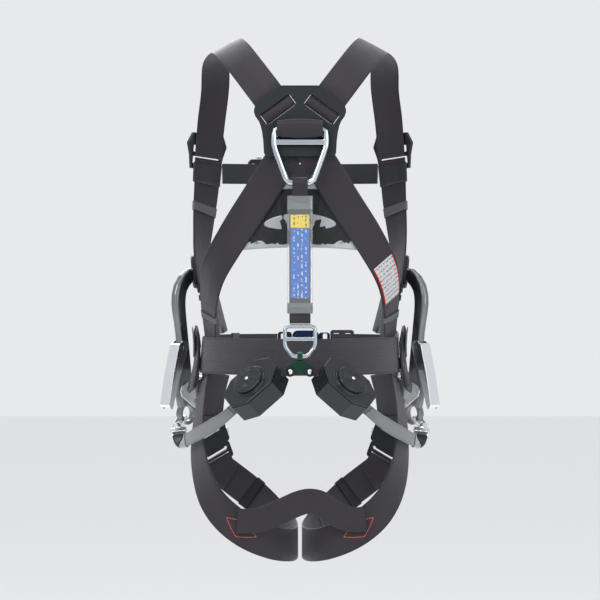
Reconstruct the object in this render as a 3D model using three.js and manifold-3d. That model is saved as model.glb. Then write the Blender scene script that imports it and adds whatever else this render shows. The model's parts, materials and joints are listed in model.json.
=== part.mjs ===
// Full-body safety harness with a rear energy absorber, two webbing winders and two scaffold hooks.
//
// Millimetres, +Z up, -Y the wearer's front, +X the wearer's left. The origin is the middle of the
// waist belt's loop, at half the belt's width. Every strap lies on one smooth body form, which is
// only a layout surface: it makes no solid of its own.

import * as THREE from 'three';
import { mergeVertices } from 'three/addons/utils/BufferGeometryUtils.js';
import Module from 'manifold-3d';

const wasm = await Module();
wasm.setup();

// ---------------------------------------------------------------- driving dimensions

const waistHalfBreadth = 126;
const waistHalfDepth = 94;
const chestHalfBreadth = 166;
const chestHalfDepth = 108;
const hipHalfBreadth = 150;
const hipHalfDepth = 108;
const shoulderTop = 445; // height at which the body form closes
const shoulderStart = 320; // height at which it starts to close
const formPower = 2.3; // roundness of the body's cross-sections

const thigh = { inner: 6, depthLoss: 10 }; // inner face from the middle, depth less than the hip's

const clearance = 0.5; // between pieces that touch
const webThickness = 2.2;
const strapWidth = 45;
const beltWidth = 50;
const chestWidth = 29;
const seatWidth = 34;
const lanyardWidth = 18;
const lanyardThickness = 3;

const underLift = 1.5; // body form to the middle of a strap that lies on it
const padThickness = 5;
const padLift = 0.3 + padThickness / 2;
const overPadLift = 0.7 + padThickness + clearance + webThickness / 2;
const crossingLift = overPadLift + webThickness + 1.2;
const strapCrown = strapWidth ** 2 / 800; // how far a strap's edges stand off a round form
const beltLift = 2.5 + 2 * webThickness + strapCrown; // over the straps and the pad
const pouchThickness = 7;
const pouchLift = beltLift + webThickness / 2 + clearance + pouchThickness / 2;

const ringSpacing = 16; // spacing of a strap's cross-sections

const chestHeight = 250;
const adjusterHeight = 278;
const hangerHeight = 134;

const dorsal = {
  centre: 322,
  thickness: 4,
  slotLength: strapWidth + 3,
  slotHeight: 17,
  slotTilt: 0.63,
  slotX: 29,
  slotV: 15,
};
const dRing = { rod: 4, top: 303, bar: 285, bottom: 231, topHalf: 34, bottomHalf: 17 };
const absorber = { width: 34, thickness: 9, top: 214, bottom: 58, tailWidth: 28 };
const lowerRing = { rod: 2.8, top: 41, bar: 24, bottom: 1, half: 20 };
const link = { x: 13, z: -19, root: -10.6, radius: 7, thickness: 3, rivet: 2.6 };
const winder = { x: 57, behind: 9, z: -42, length: 80, breadth: 58, depth: 32, wall: 2 };
const spool = { flange: 24.5, wound: 22, flangeThickness: 1.5, axle: 4 };

const hook = {
  eyeX: waistHalfBreadth + 32.5,
  eyeY: -37,
  eyeZ: -85,
  yaw: 0.873, // turn of the hook's plane from straight across, radians
  tilt: 0.349, // lean of the hook in its own plane, radians
  eyeOuter: 16,
  eyeInner: 11,
  thickness: 12,
  cheek: 16, // width over the gate's cheeks
  leverWidth: 17.6,
  crown: new THREE.Vector2(-36, 156),
  crownInner: 24,
  gatePin: new THREE.Vector2(6, 20),
  gateRadius: 106, // gate pin to the gate's tip
  leverPin: new THREE.Vector2(-44, 82),
  pinRadius: 3,
};

const swivel = { swing: 0.5, lean: 0.8, spin: 0.45, drop: 10, webEnd: 22 };
const hanger = { rod: 3.2, half: hook.thickness / 2 + 11, yaw: 0.1, play: 3, standOff: 11 };

// ---------------------------------------------------------------- materials

const finish = (color, roughness, metalness = 0) =>
  new THREE.MeshStandardMaterial({ color, roughness, metalness });

const webbing = () => finish(0x2d2a31, 0.85);
const beltWebbing = () => finish(0x4a4850, 0.85);
const fabric = () => finish(0x26252b, 0.92);
const lanyardWebbing = () => finish(0x8a9092, 0.8);
const plastic = () => finish(0x14171b, 0.45);
const bluePlastic = () => finish(0x17294a, 0.35);
const steel = () => finish(0x8494a3, 0.3, 1);
const darkSteel = () => finish(0x39443f, 0.4, 1);
const aluminium = () => finish(0xd5d8de, 0.28, 1);
const clearSleeve = () => finish(0xa3b3b5, 0.3);

// ---------------------------------------------------------------- solids

const V2 = (x, y) => new THREE.Vector2(x, y);
const V3 = (x, y, z) => new THREE.Vector3(x, y, z);

function solidOf(geometry) {
  const bare = geometry.clone();
  bare.deleteAttribute('normal');
  bare.deleteAttribute('uv');
  const merged = mergeVertices(bare, 1e-4);
  const mesh = new wasm.Mesh({
    numProp: 3,
    vertProperties: new Float32Array(merged.attributes.position.array),
    triVerts: new Uint32Array(merged.index.array),
  });
  return new wasm.Manifold(mesh);
}

function geometryOf(solid) {
  const mesh = solid.getMesh();
  const geometry = new THREE.BufferGeometry();
  geometry.setAttribute('position', new THREE.BufferAttribute(mesh.vertProperties, 3));
  geometry.setIndex(new THREE.BufferAttribute(mesh.triVerts, 1));
  return geometry;
}

function join(...geometries) {
  return geometryOf(geometries.map(solidOf).reduce((whole, next) => whole.add(next)));
}

function cut(geometry, ...cutters) {
  return geometryOf(cutters.map(solidOf).reduce((left, cutter) => left.subtract(cutter), solidOf(geometry)));
}

/**
 * Skin over equal rings of points, each turning right-handed about the direction of travel. The two
 * halves of a ring take opposite diagonals, so that a flat strip keeps its thickness as it twists.
 */
function loft(rings, looped = false) {
  const sides = rings[0].length;
  const spans = looped ? rings.length : rings.length - 1;
  const index = [];
  for (let i = 0; i < spans; i++) {
    const here = i * sides;
    const next = ((i + 1) % rings.length) * sides;
    for (let j = 0; j < sides; j++) {
      const k = (j + 1) % sides;
      if (j < sides / 2) {
        index.push(here + j, here + k, next + j);
        index.push(here + k, next + k, next + j);
      } else {
        index.push(here + j, here + k, next + k);
        index.push(here + j, next + k, next + j);
      }
    }
  }
  if (!looped) {
    const last = (rings.length - 1) * sides;
    for (let j = 1; j < sides - 1; j++) {
      index.push(0, j + 1, j);
      index.push(last, last + j, last + j + 1);
    }
  }
  const geometry = new THREE.BufferGeometry();
  const numbers = rings.flat().flatMap((point) => point.toArray());
  geometry.setAttribute('position', new THREE.Float32BufferAttribute(numbers, 3));
  geometry.setIndex(index);
  return geometry;
}

/** Rod of round section along a closed curve that lies in a plane of normal `flat`. */
function rodLoop(curve, radius, flat, steps = 28, sides = 6) {
  const rings = [];
  for (let i = 0; i < steps; i++) {
    const point = curve.getPointAt(i / steps);
    const out = flat.clone().cross(curve.getTangentAt(i / steps)).normalize();
    const ring = [];
    for (let j = 0; j < sides; j++) {
      const turn = (2 * Math.PI * j) / sides;
      ring.push(
        point.clone()
          .addScaledVector(out, radius * Math.cos(turn))
          .addScaledVector(flat, radius * Math.sin(turn)),
      );
    }
    rings.push(ring);
  }
  return loft(rings, true);
}

/** Closed curve through the corners of a polygon, each corner rounded. */
function roundedLoop(corners, radius) {
  const path = new THREE.CurvePath();
  const count = corners.length;
  const near = (from, to) => from.clone().addScaledVector(to.clone().sub(from).normalize(), radius);
  for (let i = 0; i < count; i++) {
    const corner = corners[i];
    const before = corners[(i + count - 1) % count];
    const after = corners[(i + 1) % count];
    path.add(new THREE.QuadraticBezierCurve3(near(corner, before), corner, near(corner, after)));
    path.add(new THREE.LineCurve3(near(corner, after), near(after, corner)));
  }
  return path;
}

function roundedRect(width, height, radius, x = 0, y = 0, kind = THREE.Shape) {
  const shape = new kind();
  const right = x + width / 2 - radius;
  const top = y + height / 2 - radius;
  const left = x - width / 2 + radius;
  const bottom = y - height / 2 + radius;
  shape.absarc(right, top, radius, 0, Math.PI / 2);
  shape.absarc(left, top, radius, Math.PI / 2, Math.PI);
  shape.absarc(left, bottom, radius, Math.PI, 1.5 * Math.PI);
  shape.absarc(right, bottom, radius, 1.5 * Math.PI, 2 * Math.PI);
  shape.closePath();
  return shape;
}

const slot = (width, height, x = 0, y = 0, radius = 2) =>
  roundedRect(width, height, radius, x, y, THREE.Path);

/** Flat plate of a shape's outline and holes, centred on its own mid-plane. */
function plate(shape, thickness, curveSegments = 4) {
  const geometry = new THREE.ExtrudeGeometry(shape, { depth: thickness, bevelEnabled: false, curveSegments });
  geometry.translate(0, 0, -thickness / 2);
  return geometry;
}

const outline = (points) => new THREE.Shape(points.map(([x, y]) => V2(x, y)));
const block = (x, y, z) => new THREE.BoxGeometry(x, y, z);

/** Cylinder along the local z axis. */
function disc(radius, height, sides = 24) {
  return new THREE.CylinderGeometry(radius, radius, height, sides).rotateX(Math.PI / 2);
}

// ---------------------------------------------------------------- body form

const sections = [
  { z: -260, breadth: hipHalfBreadth, depth: hipHalfDepth, centre: 5 },
  { z: -170, breadth: hipHalfBreadth + 3, depth: hipHalfDepth + 3, centre: 6 },
  { z: -100, breadth: hipHalfBreadth - 3, depth: hipHalfDepth, centre: 4 },
  { z: 0, breadth: waistHalfBreadth, depth: waistHalfDepth, centre: 0 },
  { z: 80, breadth: waistHalfBreadth + 9, depth: waistHalfDepth + 4, centre: 0 },
  { z: 165, breadth: (waistHalfBreadth + chestHalfBreadth) / 2 + 2, depth: chestHalfDepth - 4, centre: 2 },
  { z: 280, breadth: chestHalfBreadth, depth: chestHalfDepth, centre: 4 },
  { z: 460, breadth: chestHalfBreadth + 6, depth: chestHalfDepth - 8, centre: 12 },
];

/** Half breadth, half depth and depth centre of the body at a height, by cubic blending. */
function sectionAt(z) {
  const last = sections.length - 2;
  const found = sections.findIndex((_, i) => i <= last && z < sections[i + 1].z);
  const i = found < 0 ? last : found;
  const before = sections[Math.max(i - 1, 0)];
  const from = sections[i];
  const to = sections[i + 1];
  const after = sections[Math.min(i + 2, last + 1)];
  const span = to.z - from.z;
  const t = THREE.MathUtils.clamp((z - from.z) / span, 0, 1);
  const blend = (key) => {
    const slopeFrom = ((to[key] - before[key]) / (to.z - before.z)) * span;
    const slopeTo = ((after[key] - from[key]) / (after.z - from.z)) * span;
    return (
      from[key] * (2 * t ** 3 - 3 * t ** 2 + 1) +
      slopeFrom * (t ** 3 - 2 * t ** 2 + t) +
      to[key] * (3 * t ** 2 - 2 * t ** 3) +
      slopeTo * (t ** 3 - t ** 2)
    );
  };
  return { breadth: blend('breadth'), depth: blend('depth'), centre: blend('centre') };
}

/** 1 on the body's surface, more outside it and less inside. */
function torso(point) {
  const { breadth, depth, centre } = sectionAt(point.z);
  const across = Math.abs(point.x) / breadth;
  const through = Math.abs(point.y - centre) / depth;
  const round = (across ** formPower + through ** formPower) ** (1 / formPower);
  const closing = Math.max(0, (point.z - shoulderStart) / (shoulderTop - shoulderStart));
  return Math.hypot(round, closing);
}

/** Moves a point onto the body and then out along the surface's normal by `lift`. */
function settle(point, lift) {
  const step = 0.5;
  const at = point.clone();
  const normal = V3(0, 0, 0);
  for (let turn = 0; turn < 8; turn++) {
    const value = torso(at);
    normal.set(
      torso(V3(at.x + step, at.y, at.z)) - value,
      torso(V3(at.x, at.y + step, at.z)) - value,
      torso(V3(at.x, at.y, at.z + step)) - value,
    );
    const slope = normal.length() / step;
    normal.normalize();
    at.addScaledVector(normal, (1 - value) / slope);
  }
  return { point: at.addScaledVector(normal, lift), out: normal.clone() };
}

/** Point of the torso at a breadth and height: `face` -1 is the front, 1 the back, 0 the side. */
function onBody(x, face, z, lift) {
  const { breadth, depth, centre } = sectionAt(z);
  const closing = Math.max(0, (z - shoulderStart) / (shoulderTop - shoulderStart));
  const round = Math.sqrt(Math.max(0, 1 - closing ** 2));
  const left = Math.max(0, round ** formPower - Math.abs(x / breadth) ** formPower);
  return settle(V3(x, centre + face * depth * left ** (1 / formPower), z), lift);
}

/** Point of the thigh form: `turn` 0 at the front, a quarter at the outer side, a half at the back. */
function onThigh(side, turn, z, lift) {
  const angle = 2 * Math.PI * turn;
  const { breadth, depth, centre } = sectionAt(z);
  const halfBreadth = (breadth - thigh.inner) / 2;
  const halfDepth = depth - thigh.depthLoss;
  const out = V3((side * Math.sin(angle)) / halfBreadth, -Math.cos(angle) / halfDepth, 0).normalize();
  const point = V3(
    side * (thigh.inner + halfBreadth + halfBreadth * Math.sin(angle)),
    centre - halfDepth * Math.cos(angle),
    z,
  );
  return { point: point.addScaledVector(out, lift), out };
}

// ---------------------------------------------------------------- straps

/** Cross-sections along a strap: each has its point, its outward direction and its travel. */
function stations(samples) {
  return samples.map(({ point, out }, i) => {
    const before = samples[Math.max(i - 1, 0)].point;
    const after = samples[Math.min(i + 1, samples.length - 1)].point;
    const along = after.clone().sub(before).normalize();
    const facing = out.clone().addScaledVector(along, -out.dot(along)).normalize();
    return { point, along, out: facing, across: along.clone().cross(facing) };
  });
}

/** Evenly spaced stations along hand-placed guide rows, each row being numbers to interpolate. */
function follow(rows, place) {
  const curves = rows[0].map((_, column) => rows.map((row) => row[column]));
  const value = (column, t) => {
    const at = t * (rows.length - 1);
    const i = Math.min(Math.floor(at), rows.length - 2);
    const list = curves[column];
    const before = list[Math.max(i - 1, 0)];
    const after = list[Math.min(i + 2, rows.length - 1)];
    return catmull(before, list[i], list[i + 1], after, at - i);
  };
  const fine = 24 * (rows.length - 1);
  const dense = [];
  for (let i = 0; i <= fine; i++) dense.push(place(rows[0].map((_, column) => value(column, i / fine))));
  return stations(thin(dense));
}

function catmull(before, from, to, after, t) {
  const slopeFrom = (to - before) / 2;
  const slopeTo = (after - from) / 2;
  const cubic = 2 * from - 2 * to + slopeFrom + slopeTo;
  const square = -3 * from + 3 * to - 2 * slopeFrom - slopeTo;
  return cubic * t ** 3 + square * t ** 2 + slopeFrom * t + from;
}

/** Keeps the samples that lie about one ring spacing apart, and both ends. */
function thin(dense) {
  const lengths = [0];
  for (let i = 1; i < dense.length; i++) {
    lengths.push(lengths[i - 1] + dense[i].point.distanceTo(dense[i - 1].point));
  }
  const total = lengths[dense.length - 1];
  const count = Math.max(2, Math.round(total / ringSpacing));
  const kept = [];
  for (let i = 0; i <= count; i++) {
    const wanted = (total * i) / count;
    kept.push(dense[lengths.findIndex((length) => length >= wanted - 1e-6)]);
  }
  return kept;
}

/** Closed strip of even width and thickness along stations. */
function ribbon(line, width, thickness = webThickness) {
  const rings = line.map(({ point, out, across }) => {
    const corner = (o, a) =>
      point.clone().addScaledVector(out, (o * thickness) / 2).addScaledVector(across, (a * width) / 2);
    return [corner(1, 1), corner(-1, 1), corner(-1, -1), corner(1, -1)];
  });
  return loft(rings);
}

/** Strap on the torso: rows are x, face, z and lift. */
const onTorso = (rows) => follow(rows, ([x, face, z, lift]) => onBody(x, face, z, lift));

// ---------------------------------------------------------------- assembly helpers

const harness = new THREE.Group();

function addPart(name, geometry, material, group = harness) {
  geometry.computeVertexNormals();
  const mesh = new THREE.Mesh(geometry, material);
  mesh.name = name;
  group.add(mesh);
  return mesh;
}

/** Group with its x axis along `along` and its z axis towards `out`. */
function placed(point, along, out) {
  const z = out.clone().normalize();
  const x = along.clone().addScaledVector(z, -along.dot(z)).normalize();
  const y = z.clone().cross(x);
  const group = new THREE.Group();
  group.position.copy(point);
  group.quaternion.setFromRotationMatrix(new THREE.Matrix4().makeBasis(x, y, z));
  harness.add(group);
  return group;
}

/** Group on a strap, `lift` above the strap's middle, where the strap passes nearest to a point. */
function perch(line, near, lift) {
  const feet = line.slice(1).map((to, i) => {
    const from = line[i];
    const travel = to.point.clone().sub(from.point);
    const share = THREE.MathUtils.clamp(near.clone().sub(from.point).dot(travel) / travel.lengthSq(), 0, 1);
    const point = from.point.clone().addScaledVector(travel, share);
    const out = from.out.clone().lerp(to.out, share).normalize();
    return { point, out, along: travel.normalize(), distance: point.distanceTo(near) };
  });
  const foot = feet.reduce((kept, next) => (next.distance < kept.distance ? next : kept));
  return placed(foot.point.addScaledVector(foot.out, lift), foot.along, foot.out);
}

const sides = [
  { side: 1, word: 'left' },
  { side: -1, word: 'right' },
];

// ---------------------------------------------------------------- upper body straps

/** Plane of the dorsal plate: flat against the upper back, leaning forward with it. */
const plateLow = settle(V3(0, 200, dorsal.centre - 40), 0).point;
const plateHigh = settle(V3(0, 200, dorsal.centre + 40), 0).point;
const plateUp = plateHigh.clone().sub(plateLow).normalize();
const plateOut = V3(-1, 0, 0).cross(plateUp).normalize();
const plateMiddleLift = crossingLift + webThickness / 2 + clearance + dorsal.thickness / 2 + 1.8;
const plateMiddle = plateLow
  .clone()
  .add(plateHigh)
  .multiplyScalar(0.5)
  .addScaledVector(plateOut, plateMiddleLift);

/** World point of the dorsal plate's own coordinates. */
function onPlate(x, v, lift) {
  return plateMiddle
    .clone()
    .add(V3(x, 0, 0))
    .addScaledVector(plateUp, v)
    .addScaledVector(plateOut, lift);
}

const slotGap = dorsal.thickness / 2 + clearance + webThickness / 2;

/** Strap over one shoulder: from the front adjuster, over the top, behind the plate to its slot. */
function shoulderStrap(side) {
  const body = onTorso([
    [side * 128, -1, adjusterHeight - 6, underLift],
    [side * 124, -1, 322, underLift],
    [side * 115, -0.9, 376, underLift],
    [side * 105, -0.2, 416, underLift],
    [side * 90, 0.7, 408, underLift],
    [side * 72, 1, 386, underLift + 6],
  ]);
  const down = V2(-Math.sin(dorsal.slotTilt), -Math.cos(dorsal.slotTilt));
  const half = dorsal.slotHeight / 2 - 1;
  const atSlot = (run, lift) => ({
    point: onPlate(side * (dorsal.slotX + down.x * run), dorsal.slotV + down.y * run, lift),
    out: plateOut.clone(),
  });
  const through = [
    atSlot(-half - 22, -slotGap - 0.5),
    atSlot(-half - 8, -slotGap - 0.2),
    atSlot(0, -slotGap),
    atSlot(half, -slotGap),
  ];
  return stations([...body.map(({ point, out }) => ({ point, out })), ...through]);
}

/** Strap that leaves one slot behind the plate, crosses the back and runs to the other hip. */
function backStrap(side, lift) {
  return onTorso([
    [-side * 17.5, 1, dorsal.centre - 1, lift],
    [0, 1, 297, lift],
    [side * 27, 1, 258, lift],
    [side * 58, 1, 208, overPadLift],
    [side * 88, 1, 160, overPadLift],
    [side * 112, 1, 114, overPadLift],
    [side * 122, 0.95, 68, underLift],
    [side * 120, 0.9, 24, underLift],
    [side * 124, 0.9, -26, underLift],
  ]);
}

/** Strap down the front of the side: from under the shoulder adjuster to the belt. */
function sideStrap(side) {
  return onTorso([
    [side * 128.2, -1, adjusterHeight - 8, underLift],
    [side * 131, -1, 222, underLift],
    [side * 134, -1, 180, underLift],
    [side * 136, -1, 134, underLift],
    [side * 130, -1, 86, underLift],
    [side * 121, -1, 40, underLift],
    [side * 120, -1, -20, underLift],
  ]);
}

const upperLines = sides.map(({ side, word }) => {
  const shoulder = shoulderStrap(side);
  const back = backStrap(side, side > 0 ? overPadLift : crossingLift);
  const flank = sideStrap(side);
  addPart(`shoulder_strap_${word}`, ribbon(shoulder, strapWidth), webbing());
  addPart(`back_strap_${word}`, ribbon(back, strapWidth), webbing());
  addPart(`side_strap_${word}`, ribbon(flank, strapWidth), webbing());
  return { side, word, shoulder, back, flank };
});

// ---------------------------------------------------------------- chest strap and its buckle

const chestEnd = 131.1 - strapWidth / 2;
const chestBuckle = { x: 46 };

const chestRow = (x) => [x, -1, chestHeight, underLift + 0.4];
const chestMiddle = (chestEnd + chestBuckle.x) / 2;
const chestLeft = onTorso([chestRow(chestEnd), chestRow(chestMiddle), chestRow(chestBuckle.x + 14)]);
const chestRight = onTorso([chestRow(chestBuckle.x - 12), chestRow(0), chestRow(-50), chestRow(-chestEnd)]);
addPart('chest_strap_left', ribbon(chestLeft, chestWidth), webbing());
addPart('chest_strap_right', ribbon(chestRight, chestWidth), webbing());

/** Two-slot slider that a strap weaves through. */
function slider(width, height, thickness, slotWidth, slotHeight, gap) {
  const shape = roundedRect(width, height, 4);
  for (const end of [-1, 1]) {
    shape.holes.push(slot(slotWidth, slotHeight, (end * (slotWidth + gap)) / 2, 0, 1.5));
  }
  return plate(shape, thickness);
}

const onWeb = webThickness / 2 + clearance;

const chestSliderGroup = perch(chestRight, onBody(-14, -1, chestHeight, underLift).point, onWeb + 2);
addPart('chest_slider', slider(26, 39, 4, 7, 31, 4), plastic(), chestSliderGroup);

/** Quick-connect buckle: a pocketed body, a tongue with its strap bar and two press tabs. */
function quickBuckle({ length, width, depth, tongue, travel }) {
  const pocket = block(length * 0.62, tongue + 2 * clearance, 3 + 2 * clearance);
  pocket.translate(-length / 2 + length * 0.31 - 1, 0, 0);
  const recess = (end) => block(10, 7, 5).translate(-2, (end * width) / 2, 0);
  const barSlot = block(5, width - 12, depth + 2).translate(length / 2 - 7, 0, 0);
  const body = cut(plate(roundedRect(length, width, 5), depth), pocket, recess(-1), recess(1), barSlot);
  const stem = block(length * 0.62 + 4, tongue, 3).translate(-length * 0.19 - 5 - clearance, 0, 0);
  const frame = roundedRect(24, width - 3, 4, -length / 2 - 12 - clearance, 0);
  frame.holes.push(slot(5, width - 13, -length / 2 - 8 - clearance, 0, 1.5));
  frame.holes.push(slot(5, width - 13, -length / 2 - 17 - clearance, 0, 1.5));
  const male = join(plate(frame, 3.4), stem);
  const tab = (end) =>
    block(10 - 2 * clearance, 4 + travel, 5 - 2 * clearance).translate(
      -2,
      end * (width / 2 - 3.5 + clearance + travel + (4 + travel) / 2),
      0,
    );
  return { body, male, tab };
}

const chestQuick = quickBuckle({ length: 28, width: 42, depth: 10, tongue: 22, travel: 1.5 });
const chestBuckleGroup = perch(
  onTorso([chestRow(90), chestRow(60), chestRow(30), chestRow(0)]),
  onBody(chestBuckle.x + 12, -1, chestHeight, underLift).point,
  onWeb + 5,
);
chestBuckleGroup.rotateZ(Math.PI);
addPart('chest_buckle_body', chestQuick.body, plastic(), chestBuckleGroup);
addPart('chest_buckle_tongue', chestQuick.male, plastic(), chestBuckleGroup);
addPart('chest_tab_upper', chestQuick.tab(1), aluminium(), chestBuckleGroup);
addPart('chest_tab_lower', chestQuick.tab(-1), aluminium(), chestBuckleGroup);

// ---------------------------------------------------------------- shoulder adjusters

/** Strap adjuster: a frame that widens downwards, with a strap slot above and a bar slot below. */
function shoulderAdjuster() {
  const frame = outline([
    [24, 25], [-24, 25], [-27, 6], [-32, -10], [-25, -25], [25, -25], [32, -10], [27, 6],
  ]);
  frame.holes.push(slot(47, 11, 0, 13));
  frame.holes.push(slot(47, 10, 0, -3));
  return plate(frame, 6).rotateZ(Math.PI / 2);
}

for (const { side, word, shoulder } of upperLines) {
  const group = perch(shoulder, onBody(side * 127, -1, adjusterHeight + 2, underLift).point, onWeb + 4.5);
  addPart(`shoulder_adjuster_${word}`, shoulderAdjuster(), plastic(), group);
}

// ---------------------------------------------------------------- waist belt

const buckle = { x: -8, length: 38, width: 58, depth: 14, tongue: 36 };

/** Belt from the buckle's left end round the back to its right end: turn 0 is the front. */
const beltTurn = (turn) => {
  const angle = 2 * Math.PI * turn;
  return settle(V3(150 * Math.sin(angle), -120 * Math.cos(angle), 0), beltLift);
};
const beltStart = 0.036;
const beltEnd = 0.951;
const beltSteps = 12;
const beltRows = [];
for (let i = 0; i <= beltSteps; i++) beltRows.push([beltStart + ((beltEnd - beltStart) * i) / beltSteps]);
const beltLine = follow(beltRows, ([turn]) => beltTurn(turn));
addPart('waist_belt', ribbon(beltLine, beltWidth), beltWebbing());

const ringGroup = perch(beltLine, beltTurn(0.803).point, onWeb + 2.4);
const ringCorners = [[-9, 30], [-9, -30], [9, -30], [9, 30]].map(([x, y]) => V3(x, y, 0));
addPart('belt_ring', rodLoop(roundedLoop(ringCorners, 5), 2, V3(0, 0, 1)), steel(), ringGroup);

const beltAdjusterGroup = perch(beltLine, settle(V3(-62, -110, 0), beltLift).point, onWeb + 2);
addPart('belt_adjuster', slider(34, 60, 4, 9, 51, 8), darkSteel(), beltAdjusterGroup);

/** Side-release buckle: the tongue's frame and prongs slide into the body's pocket. */
const beltBuckleGroup = placed(
  settle(V3(buckle.x, -110, 0), beltLift + 1).point,
  V3(-1, 0, 0),
  V3(0, -1, 0),
);
const bucklePocket = block(buckle.length - 6, buckle.tongue + 2 * clearance, 5 + 2 * clearance);
bucklePocket.translate(-4, 0, 0);
const buckleShell = cut(plate(roundedRect(buckle.length, buckle.width, 8), buckle.depth), bucklePocket);
const buckleBarFrame = roundedRect(16, buckle.width - 6, 4, buckle.length / 2 + 7.5, 0);
buckleBarFrame.holes.push(slot(6, beltWidth - 1, buckle.length / 2 + 8.5, 0, 1.5));
addPart('belt_buckle_body', join(buckleShell, plate(buckleBarFrame, 5)), bluePlastic(), beltBuckleGroup);
const beltTongueFrame = roundedRect(20, buckle.width - 4, 4, -buckle.length / 2 - 10 - clearance, 0);
beltTongueFrame.holes.push(slot(6, beltWidth - 1, -buckle.length / 2 - 13, 0, 1.5));
const beltProngs = block(buckle.length - 6, buckle.tongue, 5).translate(-buckle.length / 2 + 7, 0, 0);
addPart('belt_buckle_tongue', join(plate(beltTongueFrame, 5), beltProngs), plastic(), beltBuckleGroup);

// ---------------------------------------------------------------- side pouches and back pad

for (const { side, word } of sides) {
  const pouchRow = (z) => [side * 124, 0.3, z, pouchLift];
  const line = onTorso([pouchRow(38), pouchRow(8), pouchRow(-24), pouchRow(-57)]);
  addPart(`side_pouch_${word}`, ribbon(line, 50, pouchThickness), fabric());
}

/** Mesh pad between the crossed straps: rows of points, narrow at the top and wide at the bottom. */
function backPad() {
  const rows = 8;
  const columns = 10;
  const top = { z: 229, half: 26 };
  const bottom = { z: 142, half: 98 };
  const rings = [];
  for (let i = 0; i <= rows; i++) {
    const share = i / rows;
    const half = THREE.MathUtils.lerp(top.half, bottom.half, share);
    const outer = [];
    const inner = [];
    for (let j = 0; j <= columns; j++) {
      const across = (2 * j) / columns - 1;
      const sag = 6 * share * (1 - across ** 2);
      const z = THREE.MathUtils.lerp(top.z, bottom.z, share) + sag;
      outer.push(onBody(half * across, 1, z, padLift + padThickness / 2).point);
      inner.unshift(onBody(half * across, 1, z, padLift - padThickness / 2).point);
    }
    rings.push([...outer, ...inner]);
  }
  return loft(rings);
}
addPart('back_pad', backPad(), fabric());

// ---------------------------------------------------------------- dorsal plate and ring

/** Dorsal plate with two slanted strap slots and the arched opening for the ring's webbing. */
function dorsalPlate() {
  const shape = new THREE.Shape();
  shape.moveTo(24, 47);
  shape.lineTo(-24, 47);
  shape.quadraticCurveTo(-34, 44, -58, 22);
  shape.quadraticCurveTo(-66, 12, -55, 0);
  shape.quadraticCurveTo(-49, -10, -48, -42);
  shape.quadraticCurveTo(-47, -47, -42, -47);
  shape.lineTo(42, -47);
  shape.quadraticCurveTo(47, -47, 48, -42);
  shape.quadraticCurveTo(49, -10, 55, 0);
  shape.quadraticCurveTo(66, 12, 58, 22);
  shape.quadraticCurveTo(34, 44, 24, 47);
  const arch = new THREE.Path();
  arch.moveTo(-33, -33);
  arch.lineTo(33, -33);
  arch.lineTo(33, -22);
  arch.quadraticCurveTo(0, -2, -33, -22);
  arch.closePath();
  shape.holes.push(arch);
  const slots = [-1, 1].map((side) =>
    plate(roundedRect(dorsal.slotLength, dorsal.slotHeight, 3), dorsal.thickness + 4)
      .rotateZ(-side * dorsal.slotTilt)
      .translate(side * dorsal.slotX, dorsal.slotV, 0),
  );
  return cut(plate(shape, dorsal.thickness), ...slots);
}
addPart('dorsal_plate', dorsalPlate(), plastic(), placed(plateMiddle, V3(-1, 0, 0), plateOut));

const dRingY = plateMiddle.y + dorsal.thickness / 2 + clearance + dRing.rod + 2.5;

/** Dorsal ring: a tapering rod loop with a cross bar, standing straight down behind the plate. */
function dorsalRing() {
  const corners = [
    V3(-dRing.topHalf, 0, dRing.top),
    V3(-dRing.topHalf - 1, 0, dRing.bar - 4),
    V3(-dRing.bottomHalf, 0, dRing.bottom),
    V3(dRing.bottomHalf, 0, dRing.bottom),
    V3(dRing.topHalf + 1, 0, dRing.bar - 4),
    V3(dRing.topHalf, 0, dRing.top),
  ];
  const loop = rodLoop(roundedLoop(corners, 6), dRing.rod, V3(0, 1, 0), 36, 8);
  const bar = block(2 * dRing.topHalf, 6, 7).translate(0, 0, dRing.bar);
  return join(loop, bar).translate(0, dRingY, 0);
}
addPart('dorsal_ring', dorsalRing(), steel());

// ---------------------------------------------------------------- absorber and lower ring

/** Webbing eye round the ring's lower bar: a drop-shaped outline with the bar's hole. */
function absorberEye() {
  const reach = dRing.rod + clearance + 3;
  const shape = new THREE.Shape();
  shape.absarc(0, 0, reach, 0, Math.PI);
  shape.lineTo(-4, -(dRing.bottom - absorber.top - clearance));
  shape.lineTo(4, -(dRing.bottom - absorber.top - clearance));
  shape.closePath();
  const hole = new THREE.Path();
  hole.absarc(0, 0, dRing.rod + clearance, 0, 2 * Math.PI);
  shape.holes.push(hole);
  const eye = plate(shape, 2 * (dRing.bottomHalf - 7), 6);
  return eye.rotateX(Math.PI / 2).rotateZ(Math.PI / 2).translate(0, dRingY, dRing.bottom);
}
addPart('absorber_eye', absorberEye(), webbing());

/** Folded shock pack in its clear sleeve, with the webbing tail that holds the lower ring. */
function absorberPack() {
  const height = absorber.top - absorber.bottom;
  const sleeve = plate(roundedRect(absorber.width, height, 3), absorber.thickness);
  const tailEnd = lowerRing.top + lowerRing.rod + clearance;
  const tailHeight = absorber.bottom - tailEnd + 4;
  const tail = block(absorber.tailWidth, tailHeight, 4).translate(0, -height / 2 - tailHeight / 2 + 4, 0);
  return join(sleeve, tail)
    .rotateX(Math.PI / 2)
    .translate(0, dRingY, (absorber.top + absorber.bottom) / 2);
}
addPart('absorber_pack', absorberPack(), clearSleeve());

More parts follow.
